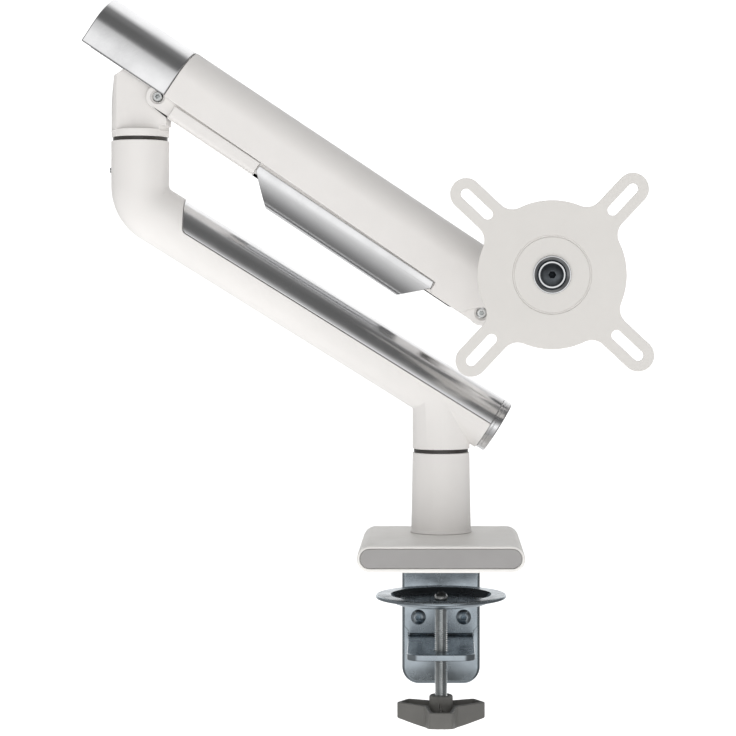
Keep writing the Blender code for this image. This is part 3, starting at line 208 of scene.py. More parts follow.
def prism(outline, low, high, place=PLAN):
    """An outline extruded along its frame's depth from low to high."""
    bm = bmesh.new()
    face = bm.faces.new([bm.verts.new((x, y, low)) for x, y in outline])
    side = bmesh.ops.extrude_face_region(bm, geom=[face])["geom"]
    raised = [v for v in side if isinstance(v, bmesh.types.BMVert)]
    bmesh.ops.translate(bm, verts=raised, vec=(0.0, 0.0, high - low))
    bm.transform(place)
    return bm


def turned(profile, place=PLAN, steps=96):
    """A profile of (radius, depth) points spun about the frame's depth axis; ends at radius 0 or closes."""
    bm = bmesh.new()
    verts = [bm.verts.new((r, 0.0, z)) for r, z in profile]
    pairs = list(zip(verts, verts[1:]))
    if profile[0][0] > 0.0 or profile[-1][0] > 0.0:
        pairs.append((verts[-1], verts[0]))
    edges = [bm.edges.new(pair) for pair in pairs]
    bmesh.ops.spin(bm, geom=verts + edges, cent=(0, 0, 0), axis=(0, 0, 1), angle=2.0 * pi, steps=steps)
    bmesh.ops.remove_doubles(bm, verts=bm.verts, dist=1e-4)
    bm.transform(place)
    return bm


def cylinder(r, low, high, place=PLAN, steps=96):
    return prism(disc(0.0, 0.0, r, steps), low, high, place)


def bar(x, y, r, low, high, place=FRONT, steps=48):
    """A round bar along the frame's depth, centred on (x, y)."""
    return prism(disc(x, y, r, steps), low, high, place)


def loft(rings, place=PLAN):
    """A closed skin through rings of equally many points."""
    bm = bmesh.new()
    loops = [[bm.verts.new(point) for point in ring] for ring in rings]
    for near, far in zip(loops, loops[1:]):
        for i in range(len(near)):
            k = (i + 1) % len(near)
            bm.faces.new((near[i], near[k], far[k], far[i]))
    bm.faces.new(loops[0])
    bm.faces.new(loops[-1])
    bm.transform(place)
    return bm


def stored(bm, name):
    """The mesh data of a millimetre bmesh, in metres, with its faces pointing out."""
    bmesh.ops.recalc_face_normals(bm, faces=bm.faces)
    if bm.calc_volume(signed=True) < 0.0:
        bmesh.ops.reverse_faces(bm, faces=bm.faces)
    bm.transform(Matrix.Scale(MM, 4))
    mesh = bpy.data.meshes.new(name)
    bm.to_mesh(mesh)
    bm.free()
    return mesh


# ---- Pieces ----

PIECES, HELPERS = [], []


def piece(node, bm, body, slot, edge=0.0):
    """A fine piece that rides on a body and stands for a CAD node; edge is how far its edges are rounded."""
    name = f"{node}_fine"
    thing = bpy.data.objects.new(name, stored(bm, name))
    bpy.context.scene.collection.objects.link(thing)
    PIECES.append((thing, body, slot, node, edge))
    return thing


def helper(bm):
    thing = bpy.data.objects.new("cutter", stored(bm, "cutter"))
    bpy.context.scene.collection.objects.link(thing)
    HELPERS.append(thing)
    return thing


def combine(thing, operation, *tools):
    for tool in tools:
        modifier = thing.modifiers.new(operation.lower(), "BOOLEAN")
        modifier.operation = operation
        modifier.object = tool if isinstance(tool, bpy.types.Object) else helper(tool)
    return thing


def cut(thing, *tools):
    return combine(thing, "DIFFERENCE", *tools)


def join(thing, *tools):
    return combine(thing, "UNION", *tools)


def keep(thing, *tools):
    return combine(thing, "INTERSECT", *tools)


def settle_pieces():
    """Rounds each piece's edges, applies its modifiers, shades it and puts it on its body."""
    for thing, *_, edge in PIECES:
        weld = thing.modifiers.new("weld", "WELD")
        weld.merge_threshold = 0.01 * MM
        if edge:
            bevel = thing.modifiers.new("bevel", "BEVEL")
            bevel.width = edge * MM
            bevel.segments = 3
            bevel.limit_method = "ANGLE"
            bevel.angle_limit = BEVEL_ANGLE
            bevel.use_clamp_overlap = False
            bevel.miter_outer = "MITER_ARC"
    graph = bpy.context.evaluated_depsgraph_get()
    meshes = [bpy.data.meshes.new_from_object(thing.evaluated_get(graph)) for thing, *_ in PIECES]
    for (thing, body, slot, node, _), mesh in zip(PIECES, meshes):
        thing.modifiers.clear()
        thing.data = mesh
        mesh.name = thing.name
        mesh.shade_smooth()
        mesh.set_sharp_from_angle(angle=SMOOTH_ANGLE)
        normals = thing.modifiers.new("normals", "WEIGHTED_NORMAL")
        normals.keep_sharp = True
        mesh.materials.clear()
        mesh.materials.append(MATERIALS[slot])
        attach(thing, body)
        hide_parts(node)
    for thing in HELPERS:
        bpy.data.objects.remove(thing)


def socket(r, floor, place):
    """The cutter for a hexagon socket with a drill-point floor."""
    steps = ((r, FAR), (r, floor), (0.1, floor - 0.8 * r))
    return loft([[(x, y, z) for x, y in disc(0.0, 0.0, size, 6)] for size, z in steps], place)


def bolt_head(node, place, body, slot, shaft_r, head_r, length, height, dome, socket_r=None):
    """A bolt with a domed head at depth 0 and up, a shaft down to -length and a hexagon socket."""
    rim = height * (1.0 - dome)
    chamfer, lip = 0.3, 0.2
    profile = [(0.0, -length), (shaft_r - chamfer, -length), (shaft_r, chamfer - length), (shaft_r, 0.0)]
    profile += [(head_r - lip, 0.0), (head_r, lip), (head_r, rim)]
    profile += [(head_r * cos(a), rim + (height - rim) * sin(a)) for a in quarter(8)[1:-1]]
    thing = piece(node, turned([*profile, (0.0, height)], place, 64), body, slot, edge=0.12)
    return cut(thing, socket(socket_r or 0.42 * head_r, 0.4 * height, place))


def nut(node, place, body, slot, across, bore_r, height):
    """A hexagon nut with chamfered corners."""
    corner_r = across / sqrt(3.0)
    thing = piece(node, prism(disc(0.0, 0.0, corner_r, 6), 0.0, height, place), body, slot, edge=0.15)
    flat = across / 2.0
    drop = (corner_r - flat) * tan(radians(30.0))
    chamfer = [(0.0, 0.0), (flat, 0.0), (corner_r, drop)]
    chamfer += [(corner_r, height - drop), (flat, height), (0.0, height)]
    keep(thing, turned(chamfer, place, 48))
    return cut(thing, cylinder(bore_r, -FAR, FAR, place, 48))


# ---- Base and clamp ----


def stadium(half_width, half_height, centre):
    return capsule(half_height - half_width, centre, half_width - half_height, centre, half_height, 20)


def make_base():
    low, high = span("base_cover")
    half, half_height, centre = high.x, (high.z - low.z) / 2.0, (high.z + low.z) / 2.0
    front, rear = -low.y, -high.y
    insert_low, insert_high = span("base_front_insert")
    insert_half, insert_height = insert_high.x + GAP, (insert_high.z - insert_low.z) / 2.0 + GAP
    insert_z = (insert_high.z + insert_low.z) / 2.0
    floor = -insert_high.y - GAP
    rim, rounding, rear_rounding, insert_rounding, wall = 0.3, 1.5, 2.6, 0.45, 2.4

    def ring(depth, shrink):
        return [(x, y, depth) for x, y in stadium(half - shrink, half_height - shrink, centre)]

    def recess(depth, shrink):
        outline = stadium(insert_half - shrink, insert_height - shrink, insert_z)
        return [(x, y, depth) for x, y in outline]

    rings = [ring(rear + rear_rounding * (1 - cos(a)), rear_rounding * (1 - sin(a))) for a in quarter()]
    rings += [ring(front - rounding * (1 - cos(a)), rounding * (1 - sin(a))) for a in reversed(quarter())]
    rings += [recess(front - rim * (1 - sin(a)), -rim * (1 - cos(a))) for a in reversed(quarter(4))]
    rings += [recess(floor, 0.0)]
    plate_low, plate_high = span("base_plate")
    cover = piece("base_cover", loft(rings, FRONT), "root", "base_plastic")
    play, boss_hole_r = 0.6, 15.4
    hollow = rounded_box(plate_low.x - play, plate_high.x + play, low.y + 2.0 * wall, high.y - wall, 2.0)
    cut(cover, prism(hollow, -FAR, high.z - wall), cylinder(boss_hole_r, 0.0, FAR))

    shoulder = -insert_low.y - insert_rounding
    rings = [recess(floor + GAP, GAP)]
    rings += [
        recess(shoulder + insert_rounding * sin(a), insert_rounding * (1 - cos(a)) + GAP) for a in quarter(4)
    ]
    piece("base_front_insert", loft(rings, FRONT), "root", "grey_insert")


def make_bracket():
    low, high = span("clamp_bracket")
    thick, bend, corner, lip = 3.0, 4.0, 11.0, 2.2
    sink_r, hole_r = 4.9, 2.8
    rear, inner, flange_low = high.y, high.y - thick, high.z - thick
    side = [(low.y, flange_low, 0.0), (inner, flange_low, bend - thick), (inner, low.z, 0.0)]
    side += [(rear, low.z, 0.0), (rear, high.z, bend), (low.y, high.z, 0.0)]
    bracket = prism(filleted(side, 8), low.x, high.x, SIDE)
    bracket = piece("clamp_bracket", bracket, "root", "zinc_plate")

    def ring(depth, by):
        corners = [(low.x + by, low.z + by, corner - by), (high.x - by, low.z + by, corner - by)]
        corners += [(high.x - by, FAR, 0.0), (low.x + by, FAR, 0.0)]
        return [(x, y, depth) for x, y in filleted(corners, 20)]

    rings = [ring(-FAR, 0.0)]
    rings += [ring(-inner - lip * (1 - sin(a)), lip * (1 - cos(a))) for a in quarter(8)]
    keep(bracket, loft([*rings, ring(FAR, lip)], FRONT))
    for i in (1, 2):
        at = middle(f"jaw_screw_{i}")
        cut(bracket, bar(at.x, at.z, JAW_HOLE_R, -FAR, 0.0))
    for i in range(1, 5):
        at = middle(f"bracket_screw_{i}")
        sink = [(0.0, -FAR), (sink_r, -FAR), (sink_r, flange_low)]
        sink += [(hole_r, high.z), (hole_r, FAR), (0.0, FAR)]
        cut(bracket, turned(sink, upright(at.x, at.y), 32))


def make_jaw():
    low, high = span("lower_jaw")
    face, half, low_half, thick = -high.y, high.x, 21.0, 4.0
    corner_r, web_r, bend_r, screw_hole_r = 2.0, 3.0, 4.0, 4.4
    right = [(low_half, low.z, 0.0), (low_half, low.z + 7.0, corner_r)]
    right += [(half, low.z + 9.5, corner_r), (half, high.z, corner_r)]
    left = [(-x, z, r) for x, z, r in reversed(right)]
    jaw = prism(filleted(right + left), face, face + thick, FRONT)
    jaw = piece("lower_jaw", jaw, "root", "zinc_plate", edge=0.5)
    flange = [(-low_half, low.y, 8.0), (low_half, low.y, 8.0)]
    flange += [(low_half, high.y, 0.0), (-low_half, high.y, 0.0)]
    join(jaw, prism(filleted(flange, 12), low.z, low.z + thick))
    sunk, inset = 0.2, 0.3  # how far the inner bend's fillet reaches into the sheet and stays off its sides
    web = [(-face - thick, low.z + thick)]
    web += arc(-face - thick - web_r, low.z + thick + web_r, web_r, 0.0, -90.0, 8)
    join(jaw, prism([(y + sunk, z - sunk) for y, z in web], inset - low_half, low_half - inset, SIDE))
    cut(jaw, bar(0.0, SCREW.y, screw_hole_r, -2.0 * FAR, 0.0, PLAN, 64))
    past = 2.0
    bend = [(high.y + past, low.z - past), (high.y - bend_r, low.z - past)]
    bend += arc(high.y - bend_r, low.z + bend_r, bend_r, -90.0, 0.0, 8) + [(high.y + past, low.z + bend_r)]
    cut(jaw, prism(bend, -FAR, FAR, SIDE))
    for i in (1, 2):
        at = middle(f"jaw_screw_{i}")
        cut(jaw, bar(at.x, at.z, JAW_HOLE_R, -FAR, 0.0))
        place = facing(at.x, -face - thick - GAP, at.z, "-Y")
        bolt_head(f"jaw_screw_{i}", place, "root", "zinc_plate", 3.0, 4.8, 13.0, 2.8, dome=0.75)
        place = facing(at.x, span("jaw_nut_1")[0].y, at.z, "+Y")
        nut(f"jaw_nut_{i}", place, "root", "zinc_plate", 10.0, JAW_HOLE_R, 4.6)


def thread(r, low, high, pitch, place, steps=40, rows=7):
    """A round bar with a helical thread of the given pitch: a 60-degree ridge that runs out at both ends."""
    depth, flank, root = 0.54 * pitch, 1.35, 0.12
    count = int((high - low) / pitch * rows)
    rings = []
    for row in range(count + 1):
        z = low + (high - low) * row / count
        fade = min(1.0, (z - low) / pitch, (high - z) / pitch)
        ring = []
        for k in range(steps):
            turn = k / steps
            phase = (z / pitch - turn) % 1.0
            ridge = max(0.0, min(1.0, flank * (1.0 - abs(2.0 * phase - 1.0)) - root))
            here = r - depth * (1.0 - ridge) * fade
            ring.append((here * cos(2.0 * pi * turn), here * sin(2.0 * pi * turn), z))
        rings.append(ring)
    return loft(rings, place)


def knob_outline(shrink):
    """A three-arm knob seen from above: square arm ends joined by hollow sides."""
    end, half, valley = KNOB_R - shrink, 7.2 - shrink, 11.5 - 1.15 * shrink
    corners = []
    for turn in KNOB_TURNS:
        for x, y, r in ((end, -half, 2.0), (end, half, 2.0), (0.5 * valley, sqrt(0.75) * valley, 6.0)):
            spot = Matrix.Rotation(radians(turn), 2) @ Vector((x, y))
            corners.append((spot.x, spot.y, r))
    return filleted(corners, 8)


def make_clamp():
    at_screw = upright(0.0, SCREW.y)
    low, high = span("pressure_disc")
    r, top, bottom, hole_r, sheet = high.x, high.z, low.z, 3.4, 2.2
    floor = bottom + sheet
    dish = [(hole_r, bottom, 0.3), (29.0, bottom, 3.0), (32.0, top - sheet, 1.5), (r, top - sheet, 0.7)]
    dish += [(r, top, 1.0), (31.0, top, 1.6), (28.0, floor, 1.6), (hole_r, floor, 0.3)]
    piece("pressure_disc", turned(filleted(dish), at_screw, 160), "pressure_disc", "zinc_plate")

    screw_low, screw_high = span("clamp_screw")
    shaft_top, tip = bottom - GAP, screw_high.z
    shaft_r, pitch, neck_r, rivet_r, crown = 4.0, 1.25, 3.0, 4.3, floor + 0.9
    screw = thread(shaft_r, screw_low.z, shaft_top - 0.2, pitch, at_screw)
    screw = piece("clamp_screw", screw, "clamp_screw", "bright_zinc")
    neck = [(0.0, shaft_top - 2.0), (neck_r, shaft_top - 2.0), (neck_r, floor + GAP)]
    neck += [(rivet_r - 0.2, floor + GAP), (rivet_r, floor + 2.0 * GAP)]
    neck += [(rivet_r * cos(a), crown + (tip - crown) * sin(a)) for a in quarter(6)[1:5]]
    neck += [(1.5, tip), (1.1, tip - 0.7), (0.0, tip - 0.9)]
    join(screw, turned(neck, at_screw, 48))

    knob_low, knob_high = span("knob")
    foot, rim, boss_top = knob_low.z, -86.3, knob_high.z
    floor, wall, rib_half, boss_r, boss_edge = foot + 9.0, 2.2, 0.7, 7.3, 1.2
    taper_r, rise, past = 9.0, 3.8, 3.0
    knob = prism(knob_outline(0.0), foot, rim, at_screw)
    knob = piece("knob", knob, "clamp_screw", "knob_plastic", edge=0.7)
    taper = [(taper_r, foot - 1.0), (taper_r, foot), (KNOB_R, foot + rise)]
    taper += [(KNOB_R + past, foot + rise), (KNOB_R + past, foot - 1.0)]
    cut(knob, prism(knob_outline(wall), floor, FAR, at_screw), turned(taper, at_screw, 96))
    for turn in KNOB_TURNS:
        along = at_screw @ Matrix.Rotation(radians(turn), 4, "Z")
        join(knob, prism(box(3.0, KNOB_R - 2.1, -rib_half, rib_half), floor - 1.0, rim - 1.6, along))
    boss = [(0.0, foot + 1.0), (boss_r, foot + 1.0), (boss_r, boss_top - 2.0 * boss_edge)]
    for a in quarter():
        boss.append((boss_r - boss_edge * (1 - cos(a)), boss_top - boss_edge * (1 - sin(a))))
    join(knob, turned([*boss, (0.0, boss_top)], at_screw, 64))
    cut(knob, cylinder(shaft_r + GAP, foot + 3.6, FAR, at_screw, 64))


# ---- Post and lower arm ----


def make_post():
    low, high = span("post_tube")
    bore, waist_r, top_r = 15.0, 18.9, 18.0
    profile = [(bore, low.z, 0.0), (high.x, low.z, 0.3), (waist_r, low.z + 2.0, 1.2)]
    profile += [(top_r, high.z, 0.6), (bore, high.z, 0.3)]
    piece("post_tube", turned(filleted(profile, 5), PLAN, 128), "root", "white_paint")


def make_bushing_rings():
    """The dark rings between the tubes, with their sleeves."""
    bore, sleeve_r, rim, edge = BUSHING_BORE_R, BUSHING_R, 1.8, 0.25
    for node, x, hung in (("base_bushing", 0.0, False), ("elbow_bushing", ELBOW_X, True)):
        low, high = span(node)
        ring_r = high.x - x
        foot_r, top_r, step = (sleeve_r, ring_r, high.z - rim) if hung else (ring_r, sleeve_r, low.z + rim)
        corners = [(bore, low.z), (foot_r, low.z), (foot_r, step)]
        corners += [(top_r, step), (top_r, high.z), (bore, high.z)]
        profile = filleted([(r, z, edge) for r, z in corners], 4)
        piece(node, turned(profile, upright(x)), "lower_arm", "black_polymer")
    low, high = span("head_bushing")
    profile = rounded_box(HEAD_BORE_R, high.x - HEAD_X, low.z, high.z, 0.2, 3)
    piece("head_bushing", turned(profile, upright(HEAD_X)), "head_block", "black_polymer")


def bent_tube(r, start, top, steps=96, bands=()):
    """Rings of a round tube that follows the beam, turns through the elbow and ends upright at top.

    Each height in bands gets a ring of its own, so that a hole there sits between short faces.
    """
    rings = []

    def ring(x, z, heading):
        across = (-sin(heading), cos(heading))
        rings.append([(x + v * across[0], u, z + v * across[1]) for u, v in disc(0.0, 0.0, r, steps)])

    rise = pi - LOWER_TILT  # the beam's heading, seen from the front
    turn = rise - pi / 2.0
    bend_z = BEAM_Z - ELBOW_X * tan(LOWER_TILT) + ELBOW_BEND_R * tan(turn / 2.0)
    ring(start * cos(LOWER_TILT), BEAM_Z - start * sin(LOWER_TILT), rise)
    bends = 20
    for i in range(bends + 1):
        heading = rise - turn * i / bends
        spot_x = ELBOW_X + ELBOW_BEND_R + ELBOW_BEND_R * cos(heading + pi / 2.0)
        spot_z = bend_z + ELBOW_BEND_R * sin(heading + pi / 2.0)
        ring(spot_x, spot_z, heading)
    for z in (*bands, top):
        ring(ELBOW_X, z, pi / 2.0)
    return loft(rings)


def cover_outline(gap):
    """Side outline of the cable cover's opening: on the beam's mid plane, with an upright rear end."""
    above, slope = 30.0, tan(LOWER_TILT)
    rear = (COVER_END_X + gap) / cos(LOWER_TILT)
    corners = [(rear - gap * slope, gap, 4.0), (FAR, gap, 0.0), (FAR, above, 0.0)]
    return filleted([*corners, (rear - above * slope, above, 0.0)], 12)


def make_lower_arm():
    at_elbow = upright(ELBOW_X)
    low, high = span("lower_arm")
    end, grub_z = ELBOW_X - span("elbow_grub_screw")[0].x, middle("elbow_grub_screw").z
    grub_r, hole_r, above = 2.0, 2.3, 3.4
    boss_r, boss_top, seat_top, hole_top = 13.0, 96.0, 86.0, 120.0
    solid_from, elbow_seat, past = 230.0, 252.0, 300.0
    tube = bent_tube(TUBE_R, BEAM_END, high.z, bands=(grub_z - above, grub_z + above))
    arm = piece("lower_arm", tube, "lower_arm", "white_paint", edge=0.45)
    join(arm, cylinder(BARREL_R, low.z, BEAM_Z))
    cut(arm, bent_tube(TUBE_BORE_R, BEAM_END + 10.0, solid_from + 8.0, 64))
    join(arm, cylinder(boss_r, low.z + 6.0, boss_top, steps=64))
    cut(
        arm,
        prism(cover_outline(0.0), -30.0, 30.0, BEAM @ FRONT),
        cylinder(BUSHING_R + GAP, 0.0, seat_top, steps=64),
        cylinder(BUSHING_BORE_R, 0.0, hole_top, steps=64),
        cylinder(BUSHING_BORE_R, solid_from, past, at_elbow, 64),
        cylinder(BUSHING_R + GAP, elbow_seat, past, at_elbow, 64),
        bar(0.0, 0.0, hole_r, 6.0, 30.0, facing(ELBOW_X, 0.0, grub_z, "-X"), 32),
    )
    grub = [(0.0, SPINDLE_R + GAP), (grub_r, SPINDLE_R + GAP), (grub_r, end - 0.5), (1.5, end), (0.0, end)]
    place = facing(ELBOW_X, 0.0, grub_z, "-X")
    grub = piece("elbow_grub_screw", turned(grub, place, 40), "lower_arm", "bright_zinc")
    cut(grub, socket(1.1, end - 2.0, place))

    section = arc(0.0, 0.0, 17.5, 0.0, 180.0, 64) + arc(0.0, 0.0, 16.0, 180.0, 0.0, 64)
    cover = prism(section, -230.0, BEAM_END, BEAM @ SIDE)
    cover = piece("lower_arm_cable_cover", cover, "lower_arm", "brushed_aluminium", edge=0.3)
    keep(cover, prism(cover_outline(GAP), -30.0, 30.0, BEAM @ FRONT))

    rim, plug_r, line, plug, face = 17.4, 15.3, 0.35, 6.3, BEAM_END + GAP
    cap = [(plug_r, face - plug, 0.3), (plug_r, face, 0.0), (rim, face, 0.3), (rim, face + 1.5, 0.15)]
    cap += [(rim - line, face + 1.65, 0.0), (rim - line, face + 1.95, 0.0), (rim, face + 2.1, 0.15)]
    cap += [(rim, face + 5.5, 0.9), (14.6, face + 5.5, 0.3), (14.2, face + 4.9, 0.3)]
    cap = [(0.0, face - plug), *filleted(cap, 5), (0.0, face + 4.9)]
    along = BEAM @ Matrix.Rotation(pi / 2.0, 4, "Y")
    piece("lower_arm_end_cap", turned(cap, along, 128), "lower_arm", "brushed_aluminium")


# ---- Knuckle ----


def pin_hole(at, r):
    return bar(at.x, at.z, r, -FAR, FAR)


def socket_pin(node, body, at, r):
    """A cross pin whose ends are rounded over and hold a hexagon socket."""
    edge, half = 0.5, span(node)[1].y
    profile = [(0.0, -half), (r - edge, -half), (r, edge - half)]
    profile += [(r, half - edge), (r - edge, half), (0.0, half)]
    place = facing(at.x, 0.0, at.z, "-Y")
    thing = piece(node, turned(profile, place, 48), body, "bright_zinc")
    for axis in ("-Y", "+Y"):
        cut(thing, socket(0.52 * r, half - 1.6, facing(at.x, 0.0, at.z, axis)))


def make_knuckle():
    low = span("elbow_knuckle")[0]
    flange_top, half, slot_half, top = low.z + 4.9, 12.0, 7.5, 340.0
    crest, shoulder = 306.0, 283.6
    x0, x1 = ELBOW_X - BARREL_R, ELBOW_X + BARREL_R
    at_elbow = upright(ELBOW_X)
    outline = [(x0, flange_top - 1.0), (x1, flange_top - 1.0)]
    outline += arc(LINK_PIN.x, LINK_PIN.z, 8.5, -53.0, 0.0, 16)
    outline += arc(LINK_PIN.x, ARM_PIN.z, 9.0, 0.0, 125.0, 24)
    rear = [(x1, 300.0, 0.0), (x0 + 2.9, crest, 1.5), (x0, shoulder, 3.0), (x0, 270.0, 0.0)]
    knuckle = prism(outline + filleted(rear, 8)[1:-1], -half, half, FRONT)
    knuckle = piece("elbow_knuckle", knuckle, "elbow_knuckle", "white_paint", edge=0.5)
    join(knuckle, prism(disc(ELBOW_X, 0.0, BARREL_R, 96), low.z, flange_top))
    rounding = helper(prism(disc(ELBOW_X, 0.0, BARREL_R + 0.03, 96), low.z - 1.0, top))
    join(rounding, prism(box(ELBOW_X + 8.0, -150.0, -20.0, 20.0), 274.0, top))
    keep(knuckle, rounding)
    cut(
        knuckle,
        prism(box(ELBOW_X - 8.5, -140.0, 286.0, top), -slot_half, slot_half, FRONT),
        pin_hole(ARM_PIN, PIVOT_R + GAP),
        pin_hole(LINK_PIN, LINK_PIVOT_R + GAP),
        cylinder(SPINDLE_R + GAP, 200.0, 281.0, at_elbow, 64),
        cylinder(3.3, 200.0, 300.0, at_elbow, 32),
    )
    socket_pin("link_pivot_pin", "elbow_knuckle", LINK_PIN, LINK_PIVOT_R)


# ---- Upper arm ----


def make_upper_arm():
    half, wall = SHELL_HALF, SHELL_WALL
    centre = SHELL_TOP - half
    head_u = PIN_U + ARM_LENGTH
    start = SLEEVE_FRONT + GAP
    step_u, step_front, step_n, end_r = 209.6, 236.0, -7.4, 20.0
    shell = prism(arch(half, step_n, centre), start, head_u + 22.0, ARM_SECTION)
    shell = piece("upper_arm_shell", shell, "upper_arm", "white_paint", edge=0.6)
    side = [(start - 1.0, SLEEVE_EDGE - 0.2), (step_u, 0.0), (step_u, step_n + 2.0), (step_u + 2.0, step_n)]
    side += arc(step_front - 6.0, step_n + 6.0, 6.0, -90.0, -15.0, 10)
    side += arc(head_u, PIN_N, end_r, -62.0, 88.0, 40)
    side += [(head_u, SHELL_TOP + 8.0), (start - 1.0, SHELL_TOP + 8.0)]
    keep(shell, prism(side, -FAR, FAR, ARM_SIDE))
    cut(shell, prism(arch(half - wall, -FAR, centre, 40), start - 10.0, head_u + 40.0, ARM_SECTION))
    spigot_end, blind = 14.0, half - 1.2
    inner = SPIGOT_HALF - SPIGOT_WALL
    join(shell, prism(arch(SPIGOT_HALF, 10.0, centre, 40), SPIGOT_REAR, spigot_end, ARM_SECTION))
    cut(
        shell,
        prism(arch(inner, -FAR, centre, 40), start - 1.0, spigot_end + 5.0, ARM_SECTION),
        prism(box(-inner, inner, -FAR, FAR), SPIGOT_REAR - 5.0, start - 0.2, ARM_SECTION),
        pin_hole(ARM_PIN, PIVOT_R + GAP),
        bar(HEAD_ARM_PIN.x, HEAD_ARM_PIN.z, PIVOT_R + GAP, -blind, blind),
    )

    rear = -59.0
    tuck, drop = 1.1, centre - SLEEVE_EDGE  # the sides draw in a little towards their lower edge
    side = [(half - tuck * t * t, centre - drop * t) for t in (k / 12.0 for k in range(12, 0, -1))]
    section = side + arc(0.0, centre, half, 0.0, 180.0, 64) + [(-x, z) for x, z in reversed(side)]
    sleeve = prism(section, rear, SLEEVE_FRONT, ARM_SECTION)
    sleeve = piece("rear_sleeve", sleeve, "upper_arm", "brushed_aluminium", edge=0.7)
    bore = arch(SPIGOT_HALF + GAP, -FAR, centre, 48)
    cut(sleeve, prism(bore, rear - 5.0, SLEEVE_FRONT + 5.0, ARM_SECTION))
    cap = prism(arch(SPIGOT_HALF, SLEEVE_EDGE + 0.4, centre, 48), rear + 0.3, rear + 1.9, ARM_SECTION)
    piece("rear_end_cap", cap, "upper_arm", "white_paint", edge=0.5)


def trough(half, r):
    """Section of the lower link: an open channel with flanges nested inside the shell."""
    inner, low = LINK_FLANGE_IN, LINK_BOTTOM + LINK_SHEET
    right = [(half - r, LINK_BOTTOM)] + arc(half - r, LINK_BOTTOM + r, r, -75.0, 0.0, 10)
    if half > LINK_FLANGE_OUT:
        right += [(half, LINK_LIP), (LINK_FLANGE_OUT, LINK_LIP)]
    return mirrored(right + [(LINK_FLANGE_OUT, LINK_TOP), (inner, LINK_TOP), (inner, low)])


def make_lower_link():
    link = prism(trough(LINK_FLANGE_OUT, 2.5), LINK_FRONT, LINK_END, ARM_SECTION)
    link = piece("lower_link", link, "lower_link", "white_paint", edge=0.6)
    join(link, prism(trough(LINK_OUT, 3.0), LINK_FRONT, LINK_STRIP_END - GAP, ARM_SECTION))
    flange = capsule(0.0, 0.0, ARM_LENGTH, 0.0, LINK_EAR_R, 32)
    for low, high in ((LINK_FLANGE_IN, LINK_FLANGE_OUT), (-LINK_FLANGE_OUT, -LINK_FLANGE_IN)):
        join(link, prism(flange, low, high, ARM_SIDE))
    cut(
        link,
        prism(box(LINK_FRONT, ARM_LENGTH - 8.0, LINK_TOP, FAR), -FAR, FAR, ARM_SIDE),
        pin_hole(LINK_PIN, LINK_PIVOT_R + GAP),
        pin_hole(HEAD_LINK_PIN, LINK_PIVOT_R + GAP),
    )
    sink_r, sink = 4.4, 1.0
    for at in (LINK_PIN, HEAD_LINK_PIN):
        for axis in ("-Y", "+Y"):
            cut(link, cylinder(sink_r, LINK_FLANGE_OUT - sink, FAR, facing(at.x, 0.0, at.z, axis), 48))

    half, wall, top, low, r = 17.6, 1.7, -0.5, -20.8, 11.0
    length = (0.0, 300.0, ARM_SECTION)
    side = [(77.3, -4.5), (94.6, low), (193.4, low + 0.4), (209.2, -4.8), (208.4, top), (77.3, top)]
    tray = prism(side, -half, half, ARM_SIDE)
    tray = piece("under_arm_cable_cover", tray, "lower_link", "brushed_aluminium", edge=0.35)
    right = [(half - r + r * sin(a), top - (top - low) * cos(a)) for a in quarter(30)]
    keep(tray, prism(mirrored([*right, (half, 5.0)]), *length))
    inner, inner_r, floor = half - wall, r - wall, low + wall + 0.3
    right = [(inner - inner_r, floor)]
    right += arc(inner - inner_r, floor + inner_r, inner_r, -84.0, 0.0, 20) + [(inner, 10.0)]
    hollow = helper(prism(mirrored(right), *length))
    side = [(79.6, -4.6), (95.4, -19.0), (192.8, -18.6), (206.8, -4.6), (206.8, 10.0), (79.6, 10.0)]
    keep(hollow, prism(side, -FAR, FAR, ARM_SIDE))
    channel = box(-LINK_FLANGE_OUT - GAP, LINK_FLANGE_OUT + GAP, LINK_BOTTOM - GAP, FAR)
    cut(tray, hollow, prism(channel, *length))


# ---- Head ----


def make_head_block():
    axis, r, half, neck_half = upright(HEAD_X), 8.0, 11.0, 10.5
    socket_r, bottom, top = span("head_block")[1].x - HEAD_X, 139.0, 167.0
    arm_x, arm_z, link_z = HEAD_ARM_PIN.x, HEAD_ARM_PIN.z, HEAD_LINK_PIN.z
    block = prism(capsule(arm_x, link_z, arm_x, arm_z, r, 32), -half, half, FRONT)
    block = piece("head_block", block, "head_block", "white_paint", edge=0.8)
    neck = [(arm_x, link_z - r + 1.0), (HEAD_X, bottom + 1.0), (HEAD_X, top - 0.6)]
    neck += [(HEAD_X - socket_r, top - 0.6), (arm_x + 4.0, arm_z + 6.0), (arm_x, arm_z)]
    join(block, prism(neck, -neck_half, neck_half, FRONT))
    join(block, cylinder(15.0, bottom, top, axis))
    cut(
        block,
        pin_hole(HEAD_ARM_PIN, PIVOT_R + GAP),
        pin_hole(HEAD_LINK_PIN, LINK_PIVOT_R + GAP),
        cylinder(HEAD_BORE_R, 100.0, 200.0, axis, 64),
        cylinder(half, 100.0, bottom + 7.0, axis, 64),
    )
    socket_pin("head_link_pin", "head_block", HEAD_LINK_PIN, LINK_PIVOT_R)


